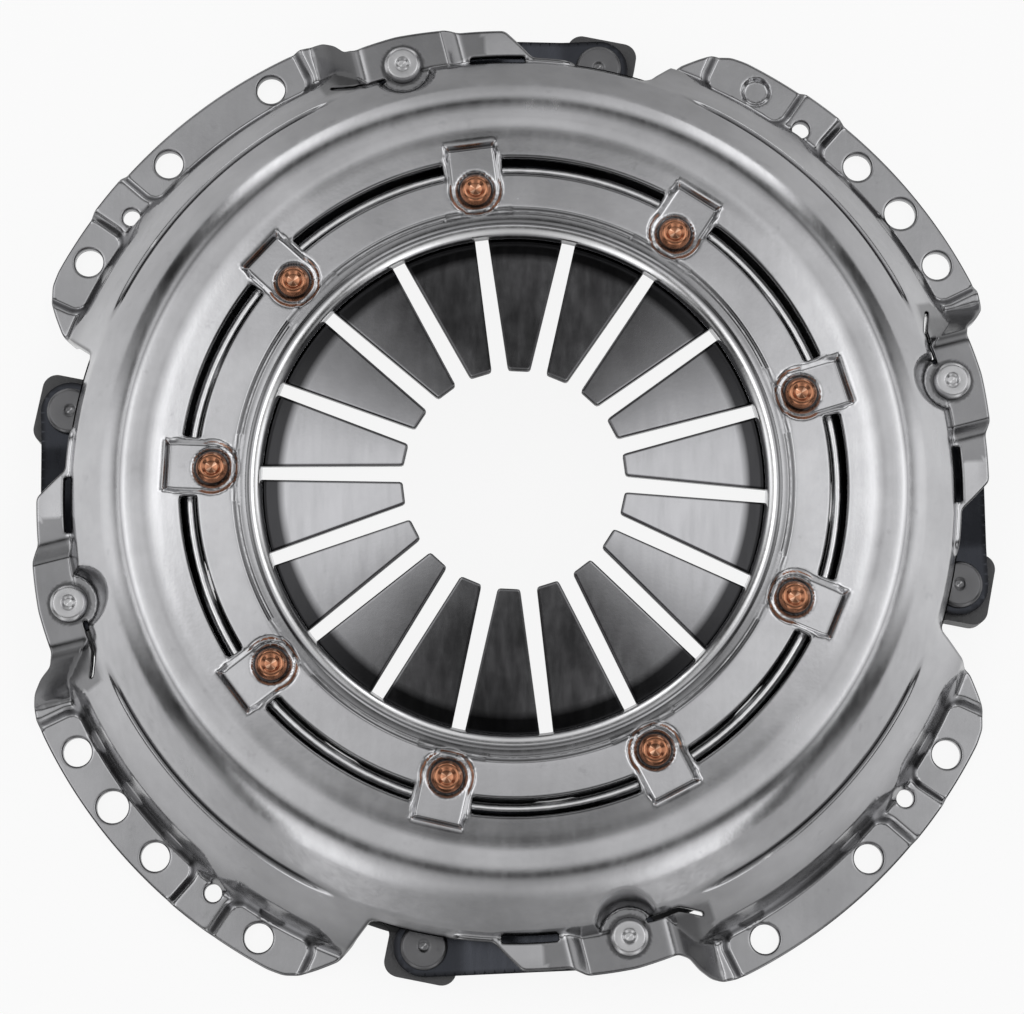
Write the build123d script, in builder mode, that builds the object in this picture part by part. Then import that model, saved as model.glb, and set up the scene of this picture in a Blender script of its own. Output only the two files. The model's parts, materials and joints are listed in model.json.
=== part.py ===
"""Push-type diaphragm clutch cover assembly, free of its flywheel.

Frame: origin on the axis, in the mounting plane under the bolt pads. +Z points away from the
flywheel, towards the release bearing. Angles run anticlockwise from +X. Millimetres.
"""
import os
from math import atan2, cos, degrees, hypot, radians, sin, tan

from build123d import *

os.makedirs("parts", exist_ok=True)

# Ring and fulcrum: the plate's outer radius drives every other radius
plate_outer_radius = 137.5
ring_width = 51.5
bead_inset = 20.0
lever_arm = 20.2
rivet_inset = 6.9
tip_radius = 33.0

# Flange, in four equal quarters
quarters = 4
bolt_circle_margin = 17.5
rim_margin = 7.0
bolt_hole_diameter = 9.0
dowel_hole_diameter = 10.0
small_hole_inset = 3.6
small_hole_diameter = 5.5
bolt_angles = (30.0, 45.0, 60.0)
blind_bolt_quarter = 0
dowel_angle = 37.5
dowel_quarters = (0, 2)
small_hole_angle = 52.9
pad_spans = ((26.0, 49.2), (55.8, 65.6))
pad_inset = 5.2
pad_corner_radius = 3.0
pad_step = 3.5
pad_wall = 2.4

# Lobe outline in plan
lobe_foot_inset = 9.5
lobe_start_foot_angle = 19.3
lobe_start_knee_inset = 7.5
lobe_start_knee_angle = 20.3
lobe_start_rim_angle = 23.2
lobe_end_foot_angle = 73.0
lobe_end_rim_angle = 65.8
lobe_end_shoulder_angle = 69.4
lobe_end_shoulder_inset = 3.0
lobe_start_corner = 8.0
lobe_end_corner = 9.0

# Cover sheet: heights are those of its middle surface where not said otherwise
sheet = 4.0
annulus_height = 49.0
lip_inset = 14.9
lip_width = 5.5
lip_drop = 1.1
lip_rounding = 2.8
lip_bend = 6.0
crown_start_offset = 2.5
crown_ramp = 7.7
crown_overhang = 0.5
crown_rise = 2.2
crown_foot_bend = 12.0
crown_bend = 14.0
shoulder_bend = 12.0
crease_inset = 6.2
crease_drop = 10.5
crease_bend = 4.0
wall_end_inset = 3.2
wall_end_drop = 1.5
skirt_run = 3.0
skirt_height = 17.0
skirt_bend = 4.0
land_inset = 7.4
land_bend = 3.4
skirt_overlap = 2.0

# Fulcrum: pads, slots, rings and rivets
fulcrum_rivet_count = 9
fulcrum_rivet_angle = 17.5
rivet_pad_drop = 1.2
rivet_pad_width = 15.0
rivet_pad_wall = 1.5
rivet_pad_overrun = 6.3
rivet_dish_radius = 7.6
rivet_spot_radius = 6.1
rivet_spot_depth = 0.6
arc_slot_width = 5.1
wire_diameter = 4.0
wire_gap_angle = 1.2
wire_clearance = 0.05
spring_clearance = 0.2
rivet_shank_radius = 3.2
rivet_hole_clearance = 0.05
rivet_shoulder_radius = 4.3
rivet_flange_radius = 8.6
rivet_flange_thickness = 2.6
rivet_flange_chamfer = 1.0
rivet_head_radius = 4.8
rivet_head_height = 3.4
rivet_head_collar = 1.4
rivet_head_plateau = 2.8
rivet_plateau_edge = 0.6
rivet_head_dimple = 0.5
rivet_dimple_slope = 0.8

# Diaphragm spring
finger_count = 18
spring_thickness = 3.0
spring_rim_margin = 1.5
ring_cone = 9.5
finger_cone = 13.5
finger_bend_offset = 0.5
slit_width_root = 3.8
slit_width_tip = 5.0
slit_window_radius = 5.9

# Pressure plate
friction_height = 5.0
plate_edge = 0.8
ring_thickness = 17.0
flange_thickness = 9.0
flange_edge_drop = 1.5
flange_edge_bend = 1.5
flange_slope_width = 13.0
bore_edge_bend = 2.0
bead_half_width = 3.6
bead_crown = 2.4
bead_foot_width = 1.6
bead_foot_bend = 3.0
bead_clearance = 0.3
bead_gap_count = 12
bead_gap_width = 12.0
bead_gap_floor = 3.0
lug_half_width = 11.0
lug_end_margin = 10.5
lug_corner = 4.5
lug_thickness = 9.5
lug_lift = 1.5
lug_root_flare = 7.0
lug_root_depth = 8.0
lug_root_bend = 3.0

# Straps and their rivets
lug_rivet_angle = 79.0
lug_rivet_offset = 2.0
seat_rivet_angle = 104.5
seat_rivet_offset = 1.2
leaves = 3
leaf_thickness = 0.8
leaf_width = 18.4
leaf_flat = 11.0
strap_shank_radius = 3.95
strap_hole_clearance = 0.1
lug_head_radius = 7.2
lug_head_height = 2.2
lug_tail_radius = 6.5
lug_tail_height = 2.4
lug_counterbore_radius = 7.6
lug_counterbore_depth = 3.2
seat_head_radius = 5.8
seat_head_height = 2.4
seat_tail_radius = 6.6
seat_tail_height = 2.2
strap_head_chamfer = 0.9
strap_tail_chamfer = 0.7

# Strap seat and guard ledge on the cover
seat_top = 30.0
seat_margin = 8.9
seat_bulge = 0.8
seat_end_bulge = 1.0
seat_root_inset = 7.2
seat_shoulder_angle = 99.0
seat_end_angle = 109.6
seat_bend = 3.6
guard_rise = 4.0
guard_start_angle = 97.5
guard_end_foot_angle = 85.4
guard_end_angle = 91.0
guard_setback = 3.0
guard_bend = 2.4
guard_slit_inset = 9.3
guard_slit_width = 2.0
guard_slit_angles = (88.0, 96.0)
ramp_start = 12.4
ramp_run = 12.0
ramp_root_offset = 2.8
ramp_root_angle = 109.4
ramp_rim_inset = 6.0
ramp_rim_angle = 112.0
ramp_end_angle = 115.5
ramp_slit_width = 1.2
ramp_slit_inset = 2.7
ramp_slit_flare = 1.8
ramp_slit_bend = 5.0
ramp_slit_angles = (107.0, 111.4, 114.3)
tool_pocket_radius = 8.6
tool_pocket_wall = 3.0

# Radii worked out from the sizes above
plate_bore_radius = plate_outer_radius - ring_width
bead_radius = plate_outer_radius - bead_inset
fulcrum_radius = bead_radius - lever_arm
fulcrum_rivet_radius = fulcrum_radius - rivet_inset
spring_rim_radius = bead_radius + spring_rim_margin
bolt_circle_radius = plate_outer_radius + bolt_circle_margin
rim_radius = bolt_circle_radius + rim_margin
small_hole_circle_radius = bolt_circle_radius - small_hole_inset
pad_inner_radius = bolt_circle_radius - pad_inset
land_radius = bolt_circle_radius - land_inset
skirt_radius = land_radius - skirt_run
lobe_foot_radius = plate_outer_radius - lobe_foot_inset
lobe_start_knee_radius = bolt_circle_radius - lobe_start_knee_inset
lobe_end_shoulder_radius = bolt_circle_radius - lobe_end_shoulder_inset
lip_radius = fulcrum_rivet_radius - lip_inset
lip_bend_radius = lip_radius + lip_width
crown_start_radius = fulcrum_radius + crown_start_offset
crown_inner_radius = crown_start_radius + crown_ramp
crown_outer_radius = spring_rim_radius + crown_overhang
crease_radius = plate_outer_radius - crease_inset
wall_end_radius = plate_outer_radius - wall_end_inset
rivet_pad_end_radius = fulcrum_radius + rivet_pad_overrun
finger_bend_radius = lip_radius + finger_bend_offset
lug_rivet_radius = plate_outer_radius + lug_rivet_offset
lug_end_radius = lug_rivet_radius + lug_end_margin
seat_rivet_radius = plate_outer_radius + seat_rivet_offset
seat_outer_radius = seat_rivet_radius + seat_margin
seat_root_radius = seat_rivet_radius - seat_root_inset
ramp_root_radius = seat_rivet_radius + ramp_root_offset
ramp_rim_radius = rim_radius - ramp_rim_inset
ramp_slit_radius = seat_rivet_radius - ramp_slit_inset
ramp_slit_end_radius = seat_rivet_radius + ramp_slit_flare
guard_outer_radius = seat_outer_radius - guard_setback
guard_slit_radius = guard_outer_radius - guard_slit_inset

# Heights worked out from the sizes above
half_sheet = sheet / 2
annulus_middle = annulus_height - half_sheet
crown_middle = annulus_middle + crown_rise
crease_height = annulus_middle - crease_drop
wall_end_height = seat_top - wall_end_drop
pad_top = sheet
land_middle = pad_step + half_sheet
land_top = pad_step + sheet
rivet_pad_top = annulus_height - rivet_pad_drop
rivet_pad_under = rivet_pad_top - sheet
wire_radius = wire_diameter / 2
upper_wire_height = rivet_pad_under - wire_clearance - wire_radius
spring_top_at_fulcrum = upper_wire_height - wire_radius - spring_clearance
spring_depth = spring_thickness / cos(radians(ring_cone))
spring_under_at_fulcrum = spring_top_at_fulcrum - spring_depth
lower_wire_height = spring_under_at_fulcrum - spring_clearance - wire_radius
flange_top = lower_wire_height - wire_radius - wire_clearance
plate_back_height = friction_height + ring_thickness
plate_flange_height = friction_height + flange_thickness
lug_bottom = friction_height + lug_lift
lug_top = lug_bottom + lug_thickness
seat_middle = seat_top - half_sheet
seat_under = seat_top - sheet
guard_middle = seat_middle + guard_rise
strap_pack = leaves * leaf_thickness
full_height = annulus_height + crown_rise + sheet

# Angles worked out from the counts above
quarter_angle = 360.0 / quarters
rivet_pitch = 360.0 / fulcrum_rivet_count
finger_pitch = 360.0 / finger_count


def polar(radius, angle):
    """Point in plan at a radius and an angle in degrees."""
    return (radius * cos(radians(angle)), radius * sin(radians(angle)))


def spring_top(radius):
    """Height of the spring's top face at a radius, free state."""
    if radius >= finger_bend_radius:
        return spring_top_at_fulcrum + (fulcrum_radius - radius) * tan(radians(ring_cone))
    at_bend = spring_top(finger_bend_radius)
    return at_bend + (finger_bend_radius - radius) * tan(radians(finger_cone))


def plan_radius(vertex):
    return hypot(vertex.X, vertex.Y)


def plan_angle(vertex):
    return degrees(atan2(vertex.Y, vertex.X))


def write(piece, name):
    """Label one piece and write its file."""
    piece.label = name
    export_step(piece, f"parts/{name}.step")


def radial_plane(angle):
    """Upright plane through the axis: x outwards at this angle, y up."""
    return Plane.XZ.rotated((0, 0, angle))


def sector(inner, outer, start, end):
    """Face of a ring sector in the current sketch."""
    with BuildLine() as boundary:
        CenterArc((0, 0), outer, start, end - start)
        Line(polar(outer, end), polar(inner, end))
        CenterArc((0, 0), inner, end, start - end)
        Line(polar(inner, start), polar(outer, start))
    make_face(boundary.edges())


# Lobe: skirt, land and two pressed pads, made once at the first quarter
skirt_path = (
    (crease_radius - skirt_overlap, crease_height + skirt_overlap),
    (crease_radius, crease_height),
    (skirt_radius, skirt_height),
    (land_radius, land_middle),
    (rim_radius, land_middle),
)
with BuildPart() as lobe:
    with BuildSketch(radial_plane(lobe_start_foot_angle)):
        with BuildLine():
            FilletPolyline(*skirt_path, radius=[0, skirt_bend, land_bend])
        trace(line_width=sheet)
    revolve(axis=Axis.Z, revolution_arc=lobe_end_foot_angle - lobe_start_foot_angle)
    wall_angle = degrees(pad_wall / bolt_circle_radius)
    for start, end in pad_spans:
        with BuildSketch(Plane.XY):
            sector(pad_inner_radius - pad_wall, rim_radius, start - wall_angle, end + wall_angle)
        extrude(amount=pad_step + half_sheet)
    for start, end in pad_spans:
        with BuildSketch(Plane.XY.offset(pad_top)) as pocket:
            sector(pad_inner_radius, rim_radius + sheet, start, end)
            inner_corners = pocket.vertices().sort_by(plan_radius)[:2]
            fillet(inner_corners, pad_corner_radius)
        extrude(amount=pad_step + half_sheet, mode=Mode.SUBTRACT)
    with BuildSketch(Plane.XY) as outline:
        with BuildLine():
            CenterArc(
                (0, 0), rim_radius, lobe_start_rim_angle, lobe_end_rim_angle - lobe_start_rim_angle
            )
            Polyline(
                polar(rim_radius, lobe_end_rim_angle),
                polar(lobe_end_shoulder_radius, lobe_end_shoulder_angle),
                polar(lobe_foot_radius, lobe_end_foot_angle),
                polar(lobe_foot_radius, lobe_start_foot_angle),
                polar(lobe_start_knee_radius, lobe_start_knee_angle),
                polar(rim_radius, lobe_start_rim_angle),
            )
        make_face()
        rim_corners = outline.vertices().sort_by(plan_radius)[-2:].sort_by(plan_angle)
        fillet(rim_corners[0], lobe_start_corner)
        rim_corners = outline.vertices().sort_by(plan_radius)[-3:].sort_by(plan_angle)
        fillet(rim_corners[-1], lobe_end_corner)
    extrude(amount=full_height, mode=Mode.INTERSECT)

# Strap seat, guard ledge and the ramp down to the next lobe, made at the seat rivet's angle
seat_plane = Plane.XY.rotated((0, 0, seat_rivet_angle))
ledge_side = Plane(
    origin=seat_plane.x_dir * seat_root_radius, x_dir=seat_plane.y_dir, z_dir=seat_plane.x_dir
)
guard_step = seat_rivet_radius * sin(radians(guard_start_angle - seat_rivet_angle))
guard_far_end = seat_rivet_radius * sin(radians(guard_end_foot_angle - seat_rivet_angle)) - sheet
ledge_path = (
    (guard_far_end, guard_middle),
    (guard_step - half_sheet, guard_middle),
    (guard_step + half_sheet, seat_middle),
    (ramp_start, seat_middle),
    (ramp_start + ramp_run, land_middle),
)
with BuildPart() as ledge:
    with BuildSketch(ledge_side):
        with BuildLine():
            FilletPolyline(*ledge_path, radius=[guard_bend, guard_bend, seat_bend])
        trace(line_width=sheet)
    extrude(amount=rim_radius)
    with BuildSketch(Plane.XY):
        with BuildLine():
            Polyline(
                polar(seat_root_radius, guard_end_foot_angle),
                polar(guard_outer_radius, guard_end_angle),
                polar(guard_outer_radius, guard_start_angle),
                polar(seat_outer_radius, seat_shoulder_angle),
                polar(seat_outer_radius + seat_bulge, seat_rivet_angle),
                polar(seat_outer_radius + seat_end_bulge, seat_end_angle),
                polar(lobe_start_knee_radius, quarter_angle + lobe_start_knee_angle),
                polar(ramp_rim_radius, ramp_rim_angle),
                polar(ramp_rim_radius, ramp_end_angle),
                polar(ramp_root_radius, ramp_end_angle),
                polar(ramp_root_radius, ramp_root_angle),
                polar(seat_root_radius, ramp_root_angle),
                close=True,
            )
        make_face()
    extrude(amount=full_height, mode=Mode.INTERSECT)
    with BuildSketch(Plane.XY):
        slit_start, slit_end = guard_slit_angles
        sector(
            guard_slit_radius - guard_slit_width / 2,
            guard_slit_radius + guard_slit_width / 2,
            slit_start,
            slit_end,
        )
    extrude(amount=full_height, mode=Mode.SUBTRACT)

# Scallop that gives the riveting tool room in the dome wall
with BuildPart() as scallop:
    with BuildSketch(seat_plane):
        with Locations((seat_rivet_radius, 0)):
            Circle(tool_pocket_radius + tool_pocket_wall)
    extrude(amount=annulus_height)
    with BuildSketch(Plane.XZ):
        with BuildLine():
            Polyline(
                (crown_inner_radius, seat_under),
                (wall_end_radius + half_sheet, seat_under),
                (wall_end_radius + half_sheet, wall_end_height),
                (crease_radius + half_sheet, crease_height),
                (crown_outer_radius, crown_middle),
                (crown_inner_radius, crown_middle),
                close=True,
            )
        make_face()
    revolve(axis=Axis.Z, mode=Mode.INTERSECT)

dome_path = (
    (lip_radius, annulus_middle - lip_drop),
    (lip_bend_radius, annulus_middle),
    (crown_start_radius, annulus_middle),
    (crown_inner_radius, crown_middle),
    (crown_outer_radius, crown_middle),
    (crease_radius, crease_height),
    (wall_end_radius, wall_end_height),
)
dome_bends = [lip_bend, crown_foot_bend, crown_bend, shoulder_bend, crease_bend]
with BuildPart() as cover:
    with BuildSketch(Plane.XZ) as dome_section:
        with BuildLine():
            FilletPolyline(*dome_path, radius=dome_bends)
        trace(line_width=sheet)
        lip_corner = dome_section.vertices().sort_by(Axis.X)[:2].sort_by(Axis.Y)[-1]
        fillet(lip_corner, lip_rounding)
    revolve(axis=Axis.Z)
    # Raised backs of the rivet pads, under the sheet
    with BuildSketch(Plane.XY.offset(rivet_pad_under)):
        with PolarLocations(0, fulcrum_rivet_count, start_angle=fulcrum_rivet_angle):
            with Locations(((fulcrum_rivet_radius + rivet_pad_end_radius + rivet_pad_wall) / 2, 0)):
                Rectangle(
                    rivet_pad_end_radius + rivet_pad_wall - fulcrum_rivet_radius,
                    rivet_pad_width + 2 * rivet_pad_wall,
                )
            with Locations((fulcrum_rivet_radius, 0)):
                Circle(rivet_dish_radius + rivet_pad_wall)
    extrude(amount=sheet - rivet_pad_drop)
    with PolarLocations(0, quarters):
        add(lobe.part)
        add(ledge.part)
        add(scallop.part)
    # Pressed fronts of the rivet pads
    with BuildSketch(Plane.XY.offset(rivet_pad_top)):
        with PolarLocations(0, fulcrum_rivet_count, start_angle=fulcrum_rivet_angle):
            with Locations(((fulcrum_rivet_radius + rivet_pad_end_radius) / 2, 0)):
                Rectangle(rivet_pad_end_radius - fulcrum_rivet_radius, rivet_pad_width)
            with Locations((fulcrum_rivet_radius, 0)):
                Circle(rivet_dish_radius)
    extrude(amount=sheet, mode=Mode.SUBTRACT)
    with BuildSketch(Plane.XY.offset(rivet_pad_top)):
        with PolarLocations(fulcrum_rivet_radius, fulcrum_rivet_count, start_angle=fulcrum_rivet_angle):
            Circle(rivet_spot_radius)
    extrude(amount=-rivet_spot_depth, mode=Mode.SUBTRACT)
    with BuildSketch(Plane.XY.offset(rivet_pad_under)):
        with PolarLocations(fulcrum_rivet_radius, fulcrum_rivet_count, start_angle=fulcrum_rivet_angle):
            Circle(rivet_shank_radius + rivet_hole_clearance)
    extrude(amount=sheet, mode=Mode.SUBTRACT)
    # Arc slots between the rivet pads
    slot_margin = degrees((rivet_pad_width / 2 + rivet_pad_wall) / fulcrum_radius)
    with BuildSketch(Plane.XY.offset(rivet_pad_under)):
        for rivet in range(fulcrum_rivet_count):
            slot_start = fulcrum_rivet_angle + rivet * rivet_pitch + slot_margin
            sector(
                fulcrum_radius - arc_slot_width / 2,
                fulcrum_radius + arc_slot_width / 2,
                slot_start,
                slot_start + rivet_pitch - 2 * slot_margin,
            )
    extrude(amount=2 * sheet, mode=Mode.SUBTRACT)
    # Tool pockets and rivet holes at the strap seats
    with BuildSketch(Plane.XY.offset(seat_top)):
        with PolarLocations(seat_rivet_radius, quarters, start_angle=seat_rivet_angle):
            Circle(tool_pocket_radius)
    extrude(amount=2 * tool_pocket_radius, mode=Mode.SUBTRACT)
    with BuildSketch(Plane.XY.offset(seat_under)):
        with PolarLocations(seat_rivet_radius, quarters, start_angle=seat_rivet_angle):
            Circle(strap_shank_radius + rivet_hole_clearance)
    extrude(amount=2 * sheet, mode=Mode.SUBTRACT)
    # Curved slits at the foot of each ramp
    with BuildSketch(Plane.XY):
        slit_start, slit_turn, slit_end = ramp_slit_angles
        for quarter in range(quarters):
            turn = quarter * quarter_angle
            with BuildLine():
                FilletPolyline(
                    polar(ramp_slit_radius, slit_start + turn),
                    polar(ramp_slit_radius, slit_turn + turn),
                    polar(ramp_slit_end_radius, slit_end + turn),
                    radius=ramp_slit_bend,
                )
            trace(line_width=ramp_slit_width)
    extrude(amount=seat_top + half_sheet, mode=Mode.SUBTRACT)
    # Bolt, dowel and small holes
    with BuildSketch(Plane.XY):
        for quarter in range(quarters):
            for angle in bolt_angles:
                if quarter == blind_bolt_quarter and angle == bolt_angles[-1]:
                    continue
                with Locations(polar(bolt_circle_radius, angle + quarter * quarter_angle)):
                    Circle(bolt_hole_diameter / 2)
            with Locations(
                polar(small_hole_circle_radius, small_hole_angle + quarter * quarter_angle)
            ):
                Circle(small_hole_diameter / 2)
        for quarter in dowel_quarters:
            with Locations(polar(bolt_circle_radius, dowel_angle + quarter * quarter_angle)):
                Circle(dowel_hole_diameter / 2)
    extrude(amount=land_top + sheet, mode=Mode.SUBTRACT)
write(cover.part, "cover")

# Diaphragm spring: conical disc, slit into fingers, with a window at each slit's root
with BuildPart() as spring:
    with BuildSketch(Plane.XZ):
        tip_inside = tip_radius - spring_thickness
        with BuildLine():
            Polyline(
                (spring_rim_radius, spring_top(spring_rim_radius)),
                (finger_bend_radius, spring_top(finger_bend_radius)),
                (tip_inside, spring_top(tip_inside)),
                (tip_inside, spring_top(tip_inside) - spring_depth),
                (finger_bend_radius, spring_top(finger_bend_radius) - spring_depth),
                (spring_rim_radius, spring_top(spring_rim_radius) - spring_depth),
                close=True,
            )
        make_face()
    revolve(axis=Axis.Z)
    with BuildSketch(Plane.XY):
        RegularPolygon(
            tip_radius,
            finger_count,
            major_radius=False,
            rotation=fulcrum_rivet_angle + finger_pitch / 2,
        )
        with PolarLocations(0, finger_count, start_angle=fulcrum_rivet_angle):
            Polygon(
                (tip_radius - spring_thickness, -slit_width_tip / 2),
                (fulcrum_rivet_radius, -slit_width_root / 2),
                (fulcrum_rivet_radius, slit_width_root / 2),
                (tip_radius - spring_thickness, slit_width_tip / 2),
                align=None,
            )
            with Locations((fulcrum_rivet_radius, 0)):
                Circle(slit_window_radius)
    extrude(amount=full_height, mode=Mode.SUBTRACT)
write(spring.part, "diaphragm_spring")

# Fulcrum rings: wire rings with a gap between their ends
for ring_name, ring_height in (
    ("upper_fulcrum_ring", upper_wire_height),
    ("lower_fulcrum_ring", lower_wire_height),
):
    with BuildPart() as ring:
        with BuildSketch(radial_plane(fulcrum_rivet_angle + wire_gap_angle / 2)):
            with Locations((fulcrum_radius, ring_height)):
                Circle(wire_radius)
        revolve(axis=Axis.Z, revolution_arc=360.0 - wire_gap_angle)
    write(ring.part, ring_name)

# Fulcrum rivets: flange under the lower ring, shoulder up to the pad, closed head on top
head_seat = rivet_pad_top - rivet_spot_depth
head_top = head_seat + rivet_head_height
flange_bottom = flange_top - rivet_flange_thickness
for rivet in range(fulcrum_rivet_count):
    rivet_angle = fulcrum_rivet_angle + rivet * rivet_pitch
    centre = polar(fulcrum_rivet_radius, rivet_angle)
    with BuildPart() as fulcrum_rivet:
        with BuildSketch(Plane(origin=(*centre, 0), x_dir=(1, 0, 0), z_dir=(0, -1, 0))):
            with BuildLine():
                Polyline(
                    (0, flange_bottom),
                    (rivet_flange_radius - rivet_flange_chamfer, flange_bottom),
                    (rivet_flange_radius, flange_bottom + rivet_flange_chamfer),
                    (rivet_flange_radius, flange_top),
                    (rivet_shoulder_radius, flange_top),
                    (rivet_shoulder_radius, rivet_pad_under),
                    (rivet_shank_radius, rivet_pad_under),
                    (rivet_shank_radius, head_seat),
                    (rivet_head_radius, head_seat),
                    (rivet_head_radius, head_seat + rivet_head_collar),
                    (rivet_head_plateau + rivet_plateau_edge, head_top),
                    (rivet_head_plateau, head_top),
                    (rivet_head_plateau - rivet_dimple_slope, head_top - rivet_head_dimple),
                    (0, head_top - rivet_head_dimple),
                    close=True,
                )
            make_face()
        revolve(axis=Axis((*centre, 0), (0, 0, 1)))
    write(fulcrum_rivet.part, f"fulcrum_rivet_{rivet + 1}")

# Pressure plate: cast ring with friction face, fulcrum bead and four strap lugs
bead_top = spring_top(bead_radius) - spring_depth - bead_clearance
bead_foot = bead_half_width + bead_foot_width
outer_bends = [0, 0, 0, 0, flange_edge_bend, 0]
inner_bends = [bead_foot_bend, bead_crown, bead_crown, bead_foot_bend, bore_edge_bend]
plate_bends = outer_bends + inner_bends
with BuildSketch() as lug_outline:
    with BuildLine():
        FilletPolyline(
            (plate_outer_radius - lug_root_depth, -lug_half_width - lug_root_flare),
            (plate_outer_radius, -lug_half_width),
            (lug_end_radius, -lug_half_width),
            (lug_end_radius, lug_half_width),
            (plate_outer_radius, lug_half_width),
            (plate_outer_radius - lug_root_depth, lug_half_width + lug_root_flare),
            radius=[0, lug_root_bend, lug_corner, lug_corner, lug_root_bend, 0],
            close=True,
        )
    make_face()
with BuildPart() as plate:
    with BuildSketch(Plane.XZ):
        with BuildLine():
            FilletPolyline(
                (plate_bore_radius, friction_height + plate_edge),
                (plate_bore_radius + plate_edge, friction_height),
                (plate_outer_radius - plate_edge, friction_height),
                (plate_outer_radius, friction_height + plate_edge),
                (plate_outer_radius, plate_flange_height - flange_edge_drop),
                (bead_radius + flange_slope_width, plate_flange_height),
                (bead_radius + bead_foot, plate_flange_height),
                (bead_radius + bead_half_width, bead_top),
                (bead_radius - bead_half_width, bead_top),
                (bead_radius - bead_foot, plate_back_height),
                (plate_bore_radius, plate_back_height),
                radius=plate_bends,
                close=True,
            )
        make_face()
    revolve(axis=Axis.Z)
    with BuildSketch(Plane.XY.offset(plate_back_height + bead_gap_floor)):
        with PolarLocations(bead_radius, bead_gap_count, start_angle=fulcrum_rivet_angle):
            Rectangle(4 * bead_half_width, bead_gap_width)
    extrude(amount=bead_top, mode=Mode.SUBTRACT)
    with BuildSketch(Plane.XY.offset(lug_bottom)):
        with PolarLocations(0, quarters, start_angle=lug_rivet_angle):
            add(lug_outline.sketch)
    extrude(amount=lug_top - lug_bottom)
    with BuildSketch(Plane.XY.offset(lug_bottom)):
        with PolarLocations(lug_rivet_radius, quarters, start_angle=lug_rivet_angle):
            Circle(strap_shank_radius + rivet_hole_clearance)
    extrude(amount=lug_top, mode=Mode.SUBTRACT)
    with BuildSketch(Plane.XY):
        with PolarLocations(lug_rivet_radius, quarters, start_angle=lug_rivet_angle):
            Circle(lug_counterbore_radius)
    extrude(amount=lug_bottom + lug_counterbore_depth, mode=Mode.SUBTRACT)
write(plate.part, "pressure_plate")

# Drive straps: packs of cranked leaves from each plate lug to the cover seat behind it
lug_point = polar(lug_rivet_radius, lug_rivet_angle)
seat_point = polar(seat_rivet_radius, seat_rivet_angle)
strap_span = hypot(seat_point[0] - lug_point[0], seat_point[1] - lug_point[1])
strap_direction = degrees(atan2(seat_point[1] - lug_point[1], seat_point[0] - lug_point[0]))
leaf_rise = seat_under - strap_pack - lug_top
half_leaf = leaf_width / 2
for quarter in range(quarters):
    turn = quarter * quarter_angle
    start = polar(lug_rivet_radius, lug_rivet_angle + turn)
    along = Plane(origin=(*start, 0)).rotated((0, 0, strap_direction + turn))
    side = Plane(
        origin=along.origin - along.y_dir * half_leaf, x_dir=along.x_dir, z_dir=-along.y_dir
    )
    for leaf_number in range(leaves):
        base = lug_top + leaf_number * leaf_thickness
        lower_edge = (
            (-half_leaf, base),
            (leaf_flat, base),
            (strap_span - leaf_flat, base + leaf_rise),
            (strap_span + half_leaf, base + leaf_rise),
        )
        upper_edge = tuple((x, height + leaf_thickness) for x, height in reversed(lower_edge))
        with BuildPart() as leaf:
            with BuildSketch(side):
                with BuildLine():
                    Polyline(*lower_edge, *upper_edge, close=True)
                make_face()
            extrude(amount=-leaf_width)
            with BuildSketch(along):
                with Locations((strap_span / 2, 0)):
                    SlotCenterToCenter(strap_span, leaf_width)
                with Locations((0, 0), (strap_span, 0)):
                    Circle(strap_shank_radius + strap_hole_clearance, mode=Mode.SUBTRACT)
            extrude(amount=full_height, mode=Mode.INTERSECT)
        write(leaf.part, f"strap_{quarter + 1}_leaf_{leaf_number + 1}")


def strap_rivet_section(tail_radius, tail_under, tail_top, head_under, head_radius, head_top):
    """Half section of a solid rivet: tail disc, shank, head with a rounded-off edge."""
    with BuildLine() as section:
        Polyline(
            (0, tail_under),
            (tail_radius - strap_tail_chamfer, tail_under),
            (tail_radius, tail_under + strap_tail_chamfer),
            (tail_radius, tail_top),
            (strap_shank_radius, tail_top),
            (strap_shank_radius, head_under),
            (head_radius, head_under),
            (head_radius, head_top - strap_head_chamfer),
            (head_radius - strap_head_chamfer, head_top),
            (0, head_top),
            close=True,
        )
    make_face(section.edges())


for quarter in range(quarters):
    turn = quarter * quarter_angle
    lug_tail_top = lug_bottom + lug_counterbore_depth
    lug_head_under = lug_top + strap_pack
    centre = polar(lug_rivet_radius, lug_rivet_angle + turn)
    with BuildPart() as lug_rivet:
        with BuildSketch(Plane(origin=(*centre, 0), x_dir=(1, 0, 0), z_dir=(0, -1, 0))):
            strap_rivet_section(
                lug_tail_radius,
                lug_tail_top - lug_tail_height,
                lug_tail_top,
                lug_head_under,
                lug_head_radius,
                lug_head_under + lug_head_height,
            )
        revolve(axis=Axis((*centre, 0), (0, 0, 1)))
    write(lug_rivet.part, f"lug_rivet_{quarter + 1}")
    seat_tail_top = seat_under - strap_pack
    centre = polar(seat_rivet_radius, seat_rivet_angle + turn)
    with BuildPart() as strap_rivet:
        with BuildSketch(Plane(origin=(*centre, 0), x_dir=(1, 0, 0), z_dir=(0, -1, 0))):
            strap_rivet_section(
                seat_tail_radius,
                seat_tail_top - seat_tail_height,
                seat_tail_top,
                seat_top,
                seat_head_radius,
                seat_top + seat_head_height,
            )
        revolve(axis=Axis((*centre, 0), (0, 0, 1)))
    write(strap_rivet.part, f"strap_rivet_{quarter + 1}")
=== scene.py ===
"""Looks of a push-type diaphragm clutch cover assembly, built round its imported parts.

Lengths in the shape functions are millimetres in the part's own frame, turned to metres where a
mesh is made. Angles run anticlockwise from +X, in degrees.
"""
import json
from math import atan2, ceil, cos, degrees, hypot, pi, radians, sin, tan

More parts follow.
